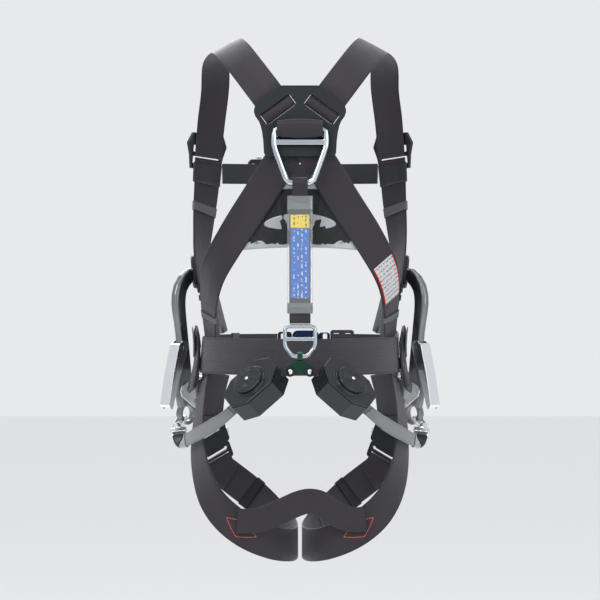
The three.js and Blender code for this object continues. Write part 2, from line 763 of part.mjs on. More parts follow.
/** Lower ring: two bars, straight above and tucked in below. */
function lowerLoop() {
  const { half, top, bar, bottom, rod } = lowerRing;
  const corners = [[-half, top], [-half, 14], [-10, bottom], [10, bottom], [half, 14], [half, top]];
  const loop = rodLoop(roundedLoop(corners.map(([x, z]) => V3(x, 0, z)), 5), rod, V3(0, 1, 0), 30);
  return join(loop, block(2 * half, 4.4, 4.4).translate(0, 0, bar)).translate(0, dRingY, 0);
}
addPart('lower_ring', lowerLoop(), steel());

/** Twin link: an eye round the lower ring's bar and two arms with rivets for the winders. */
function winderLink() {
  const eyeOuter = lowerRing.rod + clearance + 2.6;
  const eye = cut(disc(eyeOuter, 7), disc(lowerRing.rod + clearance, 9)).rotateY(Math.PI / 2);
  const arms = [-1, 1].map((side) => {
    const reach = Math.hypot(link.x, link.z - link.root);
    const arm = roundedRect(2 * link.radius, reach + 2 * link.radius, link.radius - 0.1, 0, 0);
    return plate(arm, link.thickness, 5)
      .rotateZ(side * Math.atan2(link.x, link.root - link.z))
      .translate((side * link.x) / 2, (link.z + link.root) / 2, 0)
      .rotateX(Math.PI / 2);
  });
  const rivets = [-1, 1].map((side) =>
    disc(link.rivet, 11, 16).rotateX(Math.PI / 2).translate(side * link.x, 3.2, link.z),
  );
  const moved = eye.translate(0, 0, lowerRing.bottom);
  return join(moved, ...arms, ...rivets).translate(0, dRingY, 0);
}
addPart('winder_link', winderLink(), steel());

// ---------------------------------------------------------------- winders

/** Winder axes: `out` is the cover's normal and `along` runs to the webbing's mouth. */
function winderAxes(side) {
  const out = V3(side * 0.53, 0.6, 0.6).normalize();
  const along = V3(side * 0.75, 0, -0.6625).normalize();
  return { out, along: along.addScaledVector(out, -along.dot(out)).normalize() };
}

const winderSeat = V3(winder.x, dRingY + winder.behind, winder.z);

function hexOutline(length, breadth, inset) {
  const l = length / 2 - inset;
  const b = breadth / 2 - inset;
  return outline([
    [l, b * 0.5], [l * 0.5, b], [-l * 0.55, b], [-l, b * 0.42],
    [-l, -b * 0.42], [-l * 0.55, -b], [l * 0.5, -b], [l, -b * 0.5],
  ]);
}

const coverThickness = 3;
const caseDepth = winder.depth - coverThickness - clearance;

/** Winder case: an open shell with the spool's axle, the mouth and the lug on the link's rivet. */
function winderCase(side) {
  const { length, breadth, wall } = winder;
  const shell = plate(hexOutline(length, breadth, 0), caseDepth);
  const room = plate(hexOutline(length, breadth, wall), caseDepth).translate(0, 0, wall);
  const mouth = block(12, 8, lanyardWidth + 2).translate(length / 2, 0, 1);
  const axle = disc(spool.axle, caseDepth - 1).translate(0, 0, -0.5);
  const body = join(cut(shell, room, mouth), axle);
  const { out, along } = winderAxes(side);
  const seat = winderSeat.clone().multiply(V3(side, 1, 1));
  const basis = new THREE.Matrix4().makeBasis(along, out.clone().cross(along), out).setPosition(seat);
  body.applyMatrix4(basis);
  const lugY = dRingY + link.thickness / 2 + clearance + 2;
  const lug = join(
    disc(6, 4, 20).rotateX(Math.PI / 2).translate(side * link.x, lugY, link.z),
    block(12, 4, 10).translate(side * (link.x + 6), lugY, link.z - 1),
    block(8, 16, 10).translate(side * (link.x + 9.5), lugY + 6, link.z - 1),
  );
  const inside = plate(hexOutline(length, breadth, 0.4), caseDepth - 0.4).applyMatrix4(basis);
  const trimmed = cut(lug, inside, disc(link.rivet + clearance, 20, 20).rotateX(Math.PI / 2)
    .translate(side * link.x, lugY, link.z));
  return join(body, trimmed);
}

/** Spool with two flanges and the wound webbing between them. */
function winderSpool() {
  const height = caseDepth - winder.wall - 2 * clearance - 1;
  const middle = winder.wall / 2;
  const turned = join(
    disc(spool.wound, height, 32),
    disc(spool.flange, spool.flangeThickness, 32).translate(0, 0, height / 2 - spool.flangeThickness / 2),
    disc(spool.flange, spool.flangeThickness, 32).translate(0, 0, -height / 2 + spool.flangeThickness / 2),
  );
  return cut(turned, disc(spool.axle + clearance, height + 2)).translate(0, 0, middle);
}

/** Case cover with its raised round face. */
function winderCover() {
  const lid = plate(hexOutline(winder.length, winder.breadth, 0), coverThickness);
  const face = disc(24, 3, 32).translate(0, 0, 2.5);
  const hub = disc(6, 3, 20).translate(0, 0, 5);
  return join(lid, face, hub);
}

for (const { side, word } of sides) {
  const seat = winderSeat.clone().multiply(V3(side, 1, 1));
  const { out, along } = winderAxes(side);
  const group = placed(seat, along, out);
  addPart(`winder_case_${word}`, winderCase(side), plastic());
  addPart(`winder_spool_${word}`, winderSpool(), plastic(), group);
  const cover = addPart(`winder_cover_${word}`, winderCover(), plastic(), group);
  cover.position.z = caseDepth / 2 + clearance + coverThickness / 2;
}

// ---------------------------------------------------------------- scaffold hooks

const hookAxes = (side) => ({
  inward: V3(-side * Math.cos(hook.yaw), -Math.sin(hook.yaw), 0),
  across: V3(side * Math.sin(hook.yaw), -Math.cos(hook.yaw), 0),
});

/** Group in the hook's plane: x towards the gate, y up the hook, both leaned by its tilt. */
function hookGroup(side) {
  const { inward } = hookAxes(side);
  const up = V3(0, 0, 1);
  const x = inward.clone().multiplyScalar(Math.cos(hook.tilt)).addScaledVector(up, -Math.sin(hook.tilt));
  const y = inward.clone().multiplyScalar(Math.sin(hook.tilt)).addScaledVector(up, Math.cos(hook.tilt));
  return placed(V3(side * hook.eyeX, hook.eyeY, hook.eyeZ), x, x.clone().cross(y));
}

/** Curved bar of the hook: middle line and widths, in a rounded section. */
function hookBar() {
  const guide = [
    [-6, 10, 26], [-18, 34, 30], [-27, 60, 22], [-42, 92, 18], [-55, 116, 19], [-67, 138, 22],
    [-71, 160, 22], [-60, 182, 20], [-37, 190, 17], [-13, 182, 15], [10, 158, 13], [34, 131, 13],
  ];
  const steps = 2 * (guide.length - 1);
  const value = (column, t) => {
    const at = t * (guide.length - 1);
    const i = Math.min(Math.floor(at), guide.length - 2);
    const pick = (k) => guide[THREE.MathUtils.clamp(k, 0, guide.length - 1)][column];
    return catmull(pick(i - 1), pick(i), pick(i + 1), pick(i + 2), at - i);
  };
  const rings = [];
  for (let i = 0; i <= steps; i++) {
    const t = i / steps;
    const here = V3(value(0, t), value(1, t), 0);
    const ahead = V3(value(0, Math.min(t + 0.01, 1)), value(1, Math.min(t + 0.01, 1)), 0);
    const behind = V3(value(0, Math.max(t - 0.01, 0)), value(1, Math.max(t - 0.01, 0)), 0);
    const along = ahead.sub(behind).normalize();
    const left = V3(-along.y, along.x, 0);
    const halfWidth = value(2, t) / 2;
    const halfThick = hook.thickness / 2;
    const corners = [
      [1, 0.5], [0.72, 1], [-0.72, 1], [-1, 0.5], [-1, -0.5], [-0.72, -1], [0.72, -1], [1, -0.5],
    ];
    const place = ([w, h]) => V3(0, 0, h * halfThick).addScaledVector(left, w * halfWidth).add(here);
    rings.push(corners.map(place));
  }
  return loft(rings);
}

/** Hook body: bar, eye and the two pins, with room for the gate's tip under the nose. */
function hookBody() {
  const { gatePin, leverPin } = hook;
  const eyeRing = disc(hook.eyeOuter, 9, 32);
  const pin = (at, length, radius) => disc(radius, length, 16).translate(at.x, at.y, 0);
  const whole = join(
    hookBar(),
    eyeRing,
    pin(gatePin, hook.cheek + 2, hook.pinRadius),
    pin(leverPin, hook.leverWidth + 2, 2.4),
  );
  const sweep = cut(
    disc(hook.gateRadius + clearance, 30, 96),
    block(400, 400, 40).translate(0, -200 + 80, 0),
    block(200, 400, 40).translate(-100 + 8, 0, 0),
  ).translate(gatePin.x, gatePin.y, 0);
  return cut(whole, disc(hook.eyeInner, 20, 32), sweep);
}

/** Gate: an arm whose lower end is two cheeks on the gate pin. */
function hookGate() {
  const shape = outline([
    [24, 140], [22, 104], [16, 84], [8, 60], [2, 51], [-8, 47], [-21, 39], [-29, 31], [-30, 23], [-25, 17],
    [2, 11], [13, 10], [20, 15], [24, 28], [30, 72], [35, 104], [40, 122], [42, 140],
  ]);
  const pocket = outline([[-40, 62], [-40, 0], [17, 0], [18, 30], [18, 42], [6, 54], [-4, 62]]);
  const arm = plate(shape, hook.cheek);
  const reach = disc(hook.gateRadius, 30, 96).translate(hook.gatePin.x, hook.gatePin.y, 0);
  const kept = geometryOf(solidOf(arm).intersect(solidOf(reach)));
  const hole = disc(hook.pinRadius + clearance, 30, 16).translate(hook.gatePin.x, hook.gatePin.y, 0);
  return cut(kept, plate(pocket, hook.thickness + 2 * clearance), hole);
}

/** Lock lever: folded sheet round the back of the hook, open towards the bar. */
function hookLever() {
  const shape = outline([
    [-50, 90], [-55, 82], [-52, 40], [-46, -2], [-41, -7], [-37, -5], [-37.5, 20], [-38.5, 44], [-36, 70],
    [-36, 86], [-42, 92],
  ]);
  const room = outline([
    [-52, 100], [-53, 80], [-50, 40], [-44.5, 0], [-38, -20], [-20, -20], [-20, 100],
  ]);
  const hole = disc(2.4 + clearance, 30, 16).translate(hook.leverPin.x, hook.leverPin.y, 0);
  return cut(plate(shape, hook.leverWidth), plate(room, hook.thickness + 2 * clearance), hole);
}

/** Swivel head's place on its shackle: leaned back towards the winder and spun about its barrel. */
function swivelHead(side) {
  const lean = new THREE.Matrix4().makeRotationX(-side * swivel.lean);
  const spin = new THREE.Matrix4().makeRotationY(side * swivel.spin);
  return lean.multiply(spin).setPosition(0, -hook.eyeOuter - swivel.drop, 0);
}

/** Swivel: a shackle through the hook's eye, its barrel and the webbing's clamp. */
function hookSwivel(side) {
  const centre = -hook.eyeOuter - 0.5;
  const corners = [[-8, 9], [-8, -9], [8, -9], [8, 9]].map(([z, y]) => V3(0, y + centre, z));
  const shackle = rodLoop(roundedLoop(corners, 5), 2.2, V3(1, 0, 0), 16);
  const barrel = disc(6, 12, 20).rotateX(Math.PI / 2).translate(0, -5, 0);
  const clamp = block(9, 10, lanyardWidth + 4).translate(0, -15, 0);
  return join(shackle, join(barrel, clamp).applyMatrix4(swivelHead(side)));
}

const hookGroups = sides.map(({ side, word }) => {
  const group = hookGroup(side);
  addPart(`hook_body_${word}`, hookBody(), aluminium(), group);
  addPart(`hook_gate_${word}`, hookGate(), aluminium(), group);
  addPart(`hook_lever_${word}`, hookLever(), aluminium(), group);
  const swivelGroup = new THREE.Group();
  swivelGroup.rotation.z = -swivel.swing;
  group.add(swivelGroup);
  addPart(`hook_swivel_${word}`, hookSwivel(side), steel(), swivelGroup);
  return { side, word, group, swivelGroup };
});

// ---------------------------------------------------------------- hook hangers

for (const { side, word, flank } of upperLines) {
  const { inward } = hookAxes(side);
  const lean = V2(hook.crown.x, hook.crown.y).rotateAround(V2(0, 0), -hook.tilt);
  const crown = V3(side * hook.eyeX, hook.eyeY, hook.eyeZ).addScaledVector(inward, lean.x);
  crown.z += lean.y;
  const low = crown.clone().add(V3(0, 0, hook.crownInner - hanger.rod - hanger.play));
  const strap = flank.reduce((kept, station) =>
    Math.abs(station.point.z - hangerHeight) < Math.abs(kept.point.z - hangerHeight) ? station : kept,
  );
  const high = strap.point.clone().addScaledVector(strap.out, onWeb + hanger.standOff);
  const rise = high.clone().sub(low);
  const run = V3(-side * Math.sin(hanger.yaw), Math.cos(hanger.yaw), 0);
  const flat = rise.clone().cross(run).normalize();
  const corners = [[-0.8, 0], [0.8, 0], [1, 0.45], [1, 1], [-1, 1], [-1, 0.45]].map(([along, up]) =>
    low.clone().addScaledVector(run, along * hanger.half).addScaledVector(rise, up),
  );
  const loop = rodLoop(roundedLoop(corners, 7), hanger.rod, flat);
  addPart(`hook_hanger_${word}`, loop, plastic());
}

// ---------------------------------------------------------------- lanyards

/** Lanyard webbing from the winder's mouth round the hip to the hook's swivel. */
for (const { side, word, swivelGroup } of hookGroups) {
  harness.updateMatrixWorld(true);
  const { out, along } = winderAxes(side);
  const seat = winderSeat.clone().multiply(V3(side, 1, 1));
  const mouth = seat.clone().addScaledVector(along, winder.length / 2 + 5).addScaledVector(out, 1);
  const head = swivelHead(side).premultiply(swivelGroup.matrixWorld);
  const end = V3(0, -swivel.webEnd, 0).applyMatrix4(head);
  const leaving = V3(0, -swivel.webEnd - 14, 0).applyMatrix4(head);
  const clampAcross = V3(0, 0, 1).transformDirection(head);
  clampAcross.multiplyScalar(Math.sign(clampAcross.z));
  const guide = [
    { point: mouth, across: out },
    { point: mouth.clone().addScaledVector(along, 9), across: out },
    { point: V3(side * 121, 121, -94), across: V3(side * 0.35, 0.3, 0.85) },
    { point: V3(side * 143, 88, -108), across: V3(side * 0.1, 0.1, 1) },
    { point: V3(side * 157, 50, -117), across: V3(0, 0, 1) },
    { point: leaving, across: clampAcross },
    { point: end, across: clampAcross },
  ];
  const rows = guide.map(({ point, across }) => [...point.toArray(), ...across.normalize().toArray()]);
  const line = follow(rows, ([x, y, z, i, j, k]) => ({ point: V3(x, y, z), out: V3(i, j, k) }));
  const turned = line.map(({ point, along: travel, out: width }) => ({
    point,
    across: width,
    out: width.clone().cross(travel),
  }));
  addPart(`lanyard_web_${word}`, ribbon(turned, lanyardWidth, lanyardThickness), lanyardWebbing());
}

// ---------------------------------------------------------------- leg straps

const legUnder = underLift + 1;

for (const { side, word } of sides) {
  const leg = follow(
    [
      [0.305, -34, legUnder],
      [0.33, -90, legUnder],
      [0.36, -140, legUnder],
      [0.41, -190, legUnder],
      [0.49, -228, legUnder],
      [0.58, -250, legUnder],
      [0.67, -259, legUnder],
      [0.75, -258, legUnder],
      [0.84, -246, legUnder],
      [0.92, -222, legUnder],
      [1.0, -193, legUnder],
      [1.06, -170, legUnder],
    ],
    ([turn, z, lift]) => onThigh(side, turn, z, lift),
  );
  addPart(`leg_strap_${word}`, ribbon(leg, strapWidth), webbing());

  const upper = onTorso([
    [side * 111, -1, -31, legUnder],
    [side * 119, -1, -66, legUnder],
    [side * 124, -1, -105, legUnder],
  ]);
  addPart(`leg_riser_${word}`, ribbon(upper, strapWidth), webbing());

  const legQuick = quickBuckle({ length: 30, width: 54, depth: 10, tongue: 30, travel: 1.5 });
  const lowEnd = leg[leg.length - 1].point;
  const highEnd = upper[upper.length - 1].point;
  const middle = lowEnd.clone().lerp(highEnd, 0.72);
  const buckleOut = leg[leg.length - 1].out.clone().lerp(upper[upper.length - 1].out, 0.5).normalize();
  const group = placed(
    middle.addScaledVector(buckleOut, onWeb + 7),
    highEnd.clone().sub(lowEnd).normalize(),
    buckleOut,
  );
  addPart(`leg_buckle_${word}`, legQuick.body, plastic(), group);
  addPart(`leg_adjuster_${word}`, legQuick.male, plastic(), group);
  addPart(`leg_tab_inner_${word}`, legQuick.tab(side), aluminium(), group);
  addPart(`leg_tab_outer_${word}`, legQuick.tab(-side), aluminium(), group);
}

/** Strap under the seat, which bulges up between the two leg loops: rows are x, y and z. */
const seatLine = follow(
  [
    [84, 112.5, -220],
    [56, 114.5, -219],
    [28, 118, -208],
    [-2, 122, -194],
    [-24, 123, -193],
    [-44, 118, -208],
    [-66, 114, -218],
    [-88, 112, -217],
  ],
  ([x, y, z]) => ({ point: V3(x, y, z), out: V3(0, 1, 0) }),
);
addPart('seat_strap', ribbon(seatLine, seatWidth), webbing());

export default harness;
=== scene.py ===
# %% [markdown]
# # A full-body safety harness, piece by piece
#
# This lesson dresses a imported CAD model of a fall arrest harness. The CAD holds every solid at
# its real size, and each cell below gives one piece or one finish its real surface: woven webbing
# with true stitches, rounded steel, moulded plastic, air mesh and clear film. Nearly all of it is
# numpy: a shape is worked out as whole arrays of points, and the mesh only receives them.

# %% Load the frame
import json
import math

import bmesh
import bpy
import numpy as np
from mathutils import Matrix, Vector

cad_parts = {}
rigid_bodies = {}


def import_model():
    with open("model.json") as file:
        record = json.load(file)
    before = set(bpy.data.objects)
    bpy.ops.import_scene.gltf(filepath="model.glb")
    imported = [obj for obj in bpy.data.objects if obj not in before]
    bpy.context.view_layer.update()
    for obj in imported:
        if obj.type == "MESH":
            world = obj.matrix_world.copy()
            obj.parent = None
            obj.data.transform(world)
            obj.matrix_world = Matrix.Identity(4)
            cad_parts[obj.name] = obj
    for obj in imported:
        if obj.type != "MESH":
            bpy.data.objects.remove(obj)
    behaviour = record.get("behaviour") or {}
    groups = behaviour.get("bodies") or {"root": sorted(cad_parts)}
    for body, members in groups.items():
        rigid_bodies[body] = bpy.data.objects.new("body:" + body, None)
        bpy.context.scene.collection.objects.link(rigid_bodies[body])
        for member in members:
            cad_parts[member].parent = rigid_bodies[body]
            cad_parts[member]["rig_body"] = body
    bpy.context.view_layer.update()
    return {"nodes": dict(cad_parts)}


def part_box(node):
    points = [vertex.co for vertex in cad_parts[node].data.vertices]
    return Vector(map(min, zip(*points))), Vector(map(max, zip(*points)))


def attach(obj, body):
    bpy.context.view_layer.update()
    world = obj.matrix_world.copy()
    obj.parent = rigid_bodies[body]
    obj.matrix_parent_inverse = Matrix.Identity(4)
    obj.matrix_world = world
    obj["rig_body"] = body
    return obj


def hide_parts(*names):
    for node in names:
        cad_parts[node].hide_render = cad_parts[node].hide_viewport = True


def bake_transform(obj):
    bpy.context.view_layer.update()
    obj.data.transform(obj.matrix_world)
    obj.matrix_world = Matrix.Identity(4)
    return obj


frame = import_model()
MM = 0.001
SIDES = (("left", 1), ("right", -1))

# %% [markdown]
# ## Camera and studio
#
# A harness is shown on a stand, seen straight from behind, because the back carries what matters:
# the plate, the ring, the absorber and the winders. A long lens keeps the straps' widths true.
# The light is large and soft, and a pale floor lies well below, where the feet of whoever wears
# it would be.

# %% Camera
VIEW_DISTANCE = 3.6
VIEW_HEIGHT = 0.82
LIFT = math.radians(1.0)
middle = np.array([0.0, 0.03, 0.074])


def make_camera():
    """A camera behind the wearer, aimed at the harness's middle and raised by the angle LIFT."""
    data = bpy.data.cameras.new("camera")
    data.sensor_width = 36
    data.lens = data.sensor_width * VIEW_DISTANCE / VIEW_HEIGHT
    camera = bpy.data.objects.new("camera", data)
    bpy.context.scene.collection.objects.link(camera)
    camera.location = middle + VIEW_DISTANCE * np.array([0.0, math.cos(LIFT), math.sin(LIFT)])
    camera.rotation_euler = (math.pi / 2 - LIFT, 0, math.pi)
    bpy.context.scene.camera = camera


make_camera()
print(f"camera {VIEW_DISTANCE} m behind, its view {VIEW_HEIGHT} m high")

# %% [markdown]
# ### Light
#
# Black webbing needs large, soft light, or it turns into a silhouette. Four square area lights
# aim at the harness's middle: a key and a weaker fill from behind the wearer, one in front and
# one above. Small lamps would give hard glints on the steel, and a picture for the sky isn't
# needed.

# %% Lights and world


def soft_box(name, place, size, power):
    """A square area light that faces the harness's middle."""
    data = bpy.data.lights.new(name, "AREA")
    data.size = size
    data.energy = power
    light = bpy.data.objects.new(name, data)
    bpy.context.scene.collection.objects.link(light)
    light.location = place
    aim = bpy.context.scene.camera.location.copy()
    aim[:] = middle
    light.rotation_euler = (aim - light.location).to_track_quat("-Z", "Y").to_euler()


soft_box("key", (1.6, 2.4, 1.7), 1.6, 60)
soft_box("fill", (-2.1, 2.0, 0.7), 1.8, 34)
soft_box("front", (0.8, -2.6, 1.6), 1.8, 44)
soft_box("top", (0.0, 0.2, 2.6), 1.4, 26)

world = bpy.data.worlds.new("studio")
world.use_nodes = True
world.node_tree.nodes["Background"].inputs["Color"].default_value = (0.95, 0.96, 0.98, 1)
world.node_tree.nodes["Background"].inputs["Strength"].default_value = 0.85
bpy.context.scene.world = world
bpy.context.scene.view_settings.view_transform = "Standard"
print(len(bpy.data.lights), "area lights")

# %% [markdown]
# ## Helpers
#
# Four small tools serve every piece. One joins the rows of a grid into faces, one puts arrays
# into a mesh, one gathers the points of a CAD node, and one shortens directions to length one.

# %% Mesh helpers


def grid_faces(rows, columns):
    """Quads between neighbours of a grid numbered row by row, whose last column joins the first."""
    row = np.arange(rows - 1)[:, None]
    column = np.arange(columns)[None, :]
    next_row, next_column = row + 1, (column + 1) % columns
    corners = [
        row * columns + column,
        row * columns + next_column,
        next_row * columns + next_column,
        next_row * columns + column,
    ]
    return np.stack([np.broadcast_to(c, (row.size, column.size)) for c in corners], -1).reshape(-1,
                                                                                                4)


def make_piece(name, points, faces, material, body="frame", uv=None):
    """An object of points and faces that rides on a body. uv is one pair for each point."""
    mesh = bpy.data.meshes.new(name)
    mesh.from_pydata(np.asarray(points, float).reshape(-1, 3).tolist(), [],
                     [list(f) for f in faces])
    if uv is not None:
        corner_points = np.empty(len(mesh.loops), np.int32)
        mesh.loops.foreach_get("vertex_index", corner_points)
        layer = mesh.uv_layers.new(name="surface")
        layer.data.foreach_set("uv", np.asarray(uv, np.float32)[corner_points].ravel())
    mesh.polygons.foreach_set("use_smooth", np.ones(len(mesh.polygons), bool))
    mesh.materials.append(material)
    piece = bpy.data.objects.new(name, mesh)
    bpy.context.scene.collection.objects.link(piece)
    if body:
        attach(piece, body)
    return piece


def corners_of(node):
    """The merged corner points of a CAD node and its triangles, as two arrays."""
    mesh = frame["nodes"][node].data
    flat = np.empty(len(mesh.vertices) * 3, np.float32)
    mesh.vertices.foreach_get("co", flat)
    mesh.calc_loop_triangles()
    triangles = np.empty(len(mesh.loop_triangles) * 3, np.int32)
    mesh.loop_triangles.foreach_get("vertices", triangles)
    places, index = np.unique(flat.reshape(-1, 3).round(5), axis=0, return_inverse=True)
    return places, index.ravel()[triangles].reshape(-1, 3)


def unit(vectors):
    """Each row of an array, shortened to length one."""
    return vectors / np.maximum(np.linalg.norm(vectors, axis=-1, keepdims=True), 1e-12)


# %% [markdown]
# ### Floor
#
# A shop shows such a harness on a stand over a plain floor. One wide quad of matt white does that.

# %% Floor
FLOOR_HEIGHT = -0.95


def pale_floor():
    """A wide level plane under the harness, in plain matt white."""
    material = bpy.data.materials.new("floor")
    material.use_nodes = True
    shader = material.node_tree.nodes["Principled BSDF"]
    shader.inputs["Base Color"].default_value = (0.9, 0.9, 0.9, 1)
    shader.inputs["Roughness"].default_value = 0.9
    reach = 14.0
    mesh = bpy.data.meshes.new("floor")
    ends = [(-reach, -reach), (reach, -reach), (reach, reach), (-reach, reach)]
    mesh.from_pydata([(x, y, FLOOR_HEIGHT) for x, y in ends], [], [(0, 1, 2, 3)])
    mesh.materials.append(material)
    floor = bpy.data.objects.new("floor", mesh)
    bpy.context.scene.collection.objects.link(floor)


pale_floor()
print("floor at", FLOOR_HEIGHT, "m")

# %% [markdown]
# ## Reading a strap back from the CAD
#
# A CAD strap is a thin strip: cross-sections of four corners, one every centimetre or two. The
# look needs a far finer surface on exactly the same path. The two end faces are found by the
# lengths of their sides, and from one of them each next cross-section is what the last one's
# corners touch.

# %% Strap lines
WEB = 2.2 * MM
STRAP = 45 * MM
BELT = 50 * MM
STEP = 3 * MM
SECTION_GAP = 14 * MM


def strap_rings(node, width, thickness):
    """Centres of a strap's cross-sections and the direction of their thickness, in order.

    Only the triangles of an end have sides as long as the thickness, the width and the diagonal of
    the section. From that end, each next section is the set of neighbours not met before.
    """
    points, triangles = corners_of(node)
    pairs = ((0, 1), (1, 2), (2, 0))
    sides = [np.linalg.norm(points[triangles[:, a]] - points[triangles[:, b]],
                            axis=1) for a, b in pairs]
    wanted = [thickness, width, math.hypot(width, thickness)]
    caps = triangles[(abs(np.sort(sides, axis=0).T - wanted) < 0.08 * MM).all(axis=1)]
    links = np.zeros((len(points), len(points)), bool)
    for a, b in pairs:
        links[triangles[:, a], triangles[:, b]] = True
        links[triangles[:, b], triangles[:, a]] = True
    height = points[caps].mean(axis=1) @ [0.1, 0.0, 1.0]
    start = caps[np.argmax(height)]
    ring = np.zeros(len(points), bool)
    ring[caps[np.isin(caps, start).sum(axis=1) >= 2]] = True
    seen = ring.copy()
    rings = []
    while ring.any():
        rings.append(points[ring][:4])
        ring = links[ring].any(axis=0) & ~seen
        seen |= ring
    rings = np.array(rings)
    gaps = np.linalg.norm(rings[:, 1:] - rings[:, :1], axis=2)
    partner = rings[np.arange(len(rings)), 1 + gaps.argmin(axis=1)]
    return rings.mean(axis=1), unit(rings[:, 0] - partner)


# %% [markdown]
# ### A strap's line
#
# Everything on a strap, from its weave to its stitches and keepers, is placed by a distance along
# it, an offset across and a height above. A Bezier curve object could carry the strap alone, but
# a plain class of arrays answers all three questions for thousands of points at once.

# %% A strap's line


def smooth_rows(rows, places):
    """Catmull-Rom values of evenly spaced rows at fractional places along them."""
    low = np.clip(np.floor(places).astype(int), 0, len(rows) - 2)
    t = (places - low)[:, None]
    pick = [rows[np.clip(low + k, 0, len(rows) - 1)] for k in (-1, 0, 1, 2)]
    cubic = -pick[0] + 3 * pick[1] - 3 * pick[2] + pick[3]
    square = 2 * pick[0] - 5 * pick[1] + 4 * pick[2] - pick[3]
    return 0.5 * (cubic * t**3 + square * t**2 + (pick[2] - pick[0]) * t + 2 * pick[1])


class Line:
    """A strap's path: points with the direction along it, outward and across, and the distance.

    The sections' centres are spaced evenly by straight interpolation and joined by a Catmull-Rom
    curve. Across is the cross product of along and outward.
    """

    def __init__(self, centre, facing, axis):
        away = centre[0] - np.array(axis)
        away[2] = 0
        signs = np.sign(np.concatenate([[facing[0] @ away], np.sum(facing[1:] * facing[:-1],
                                                                   axis=1)]))
        facing = facing * np.cumprod(np.where(signs == 0, 1, signs))[:, None]
        reach = np.concatenate([[0], np.cumsum(np.linalg.norm(np.diff(centre, axis=0), axis=1))])
        even = np.linspace(0, reach[-1], max(int(reach[-1] / SECTION_GAP), 3) + 1)
        centre, facing = (np.stack([np.interp(even, reach, rows[:, k]) for k in range(3)], 1)
                          for rows in (centre, facing))
        places = np.linspace(0, len(centre) - 1, max(int(reach[-1] / STEP), 8) + 1)
        self.settle(smooth_rows(centre, places), smooth_rows(facing, places))

    def settle(self, points, out):
        """Keeps the points and works out the directions and the distance at each."""
        self.points = points
        self.along = unit(np.gradient(points, axis=0))
        self.out = unit(out - np.sum(out * self.along, axis=1, keepdims=True) * self.along)
        self.across = np.cross(self.along, self.out)
        steps = np.linalg.norm(np.diff(points, axis=0), axis=1)
        self.distance = np.concatenate([[0], np.cumsum(steps)])
        self.length = self.distance[-1]

    def at(self, distance, across=0.0, lift=0.0):
        """Points on the strap, each at its distance along, offset across and height above."""
        distance, across, lift = np.broadcast_arrays(distance, across, lift)
        blend = [[np.interp(distance, self.distance, rows[:, k]) for k in range(3)]
                 for rows in (self.points, self.along, self.out, self.across)]
        point, along, out, side = (np.stack(b, -1) for b in blend)
        place = point + side * across[..., None] + out * lift[..., None]
        return place, unit(along), unit(out), unit(side)

    def nearest(self, z):
        """Distance along the strap at which it passes a height."""
        return self.distance[np.argmin(abs(self.points[:, 2] - z))]

    def beside(self, place):
        """Distance along the strap at which it passes closest to a place."""
        return self.distance[np.argmin(np.linalg.norm(self.points - place, axis=1))]


def line_of(node, width=STRAP, thickness=WEB, axis=(0, 0, 0)):
    """The fine line of a CAD strap, outward from a vertical axis."""
    return Line(*strap_rings(node, width, thickness), axis)


# %% [markdown]
# ## Woven webbing
#
# Harness webbing is a heavy twill of polyester yarn. Its ribs run along the strap, the diagonals
# of the twill cross them, and both edges are rolled. Real yarn is far too fine to model, so the
# ribs are bump, driven by the strap's own map in metres, while the rolled edge, the slight camber
# and the slow ripple that a strap takes from wear are real shape.

# %% Node helper


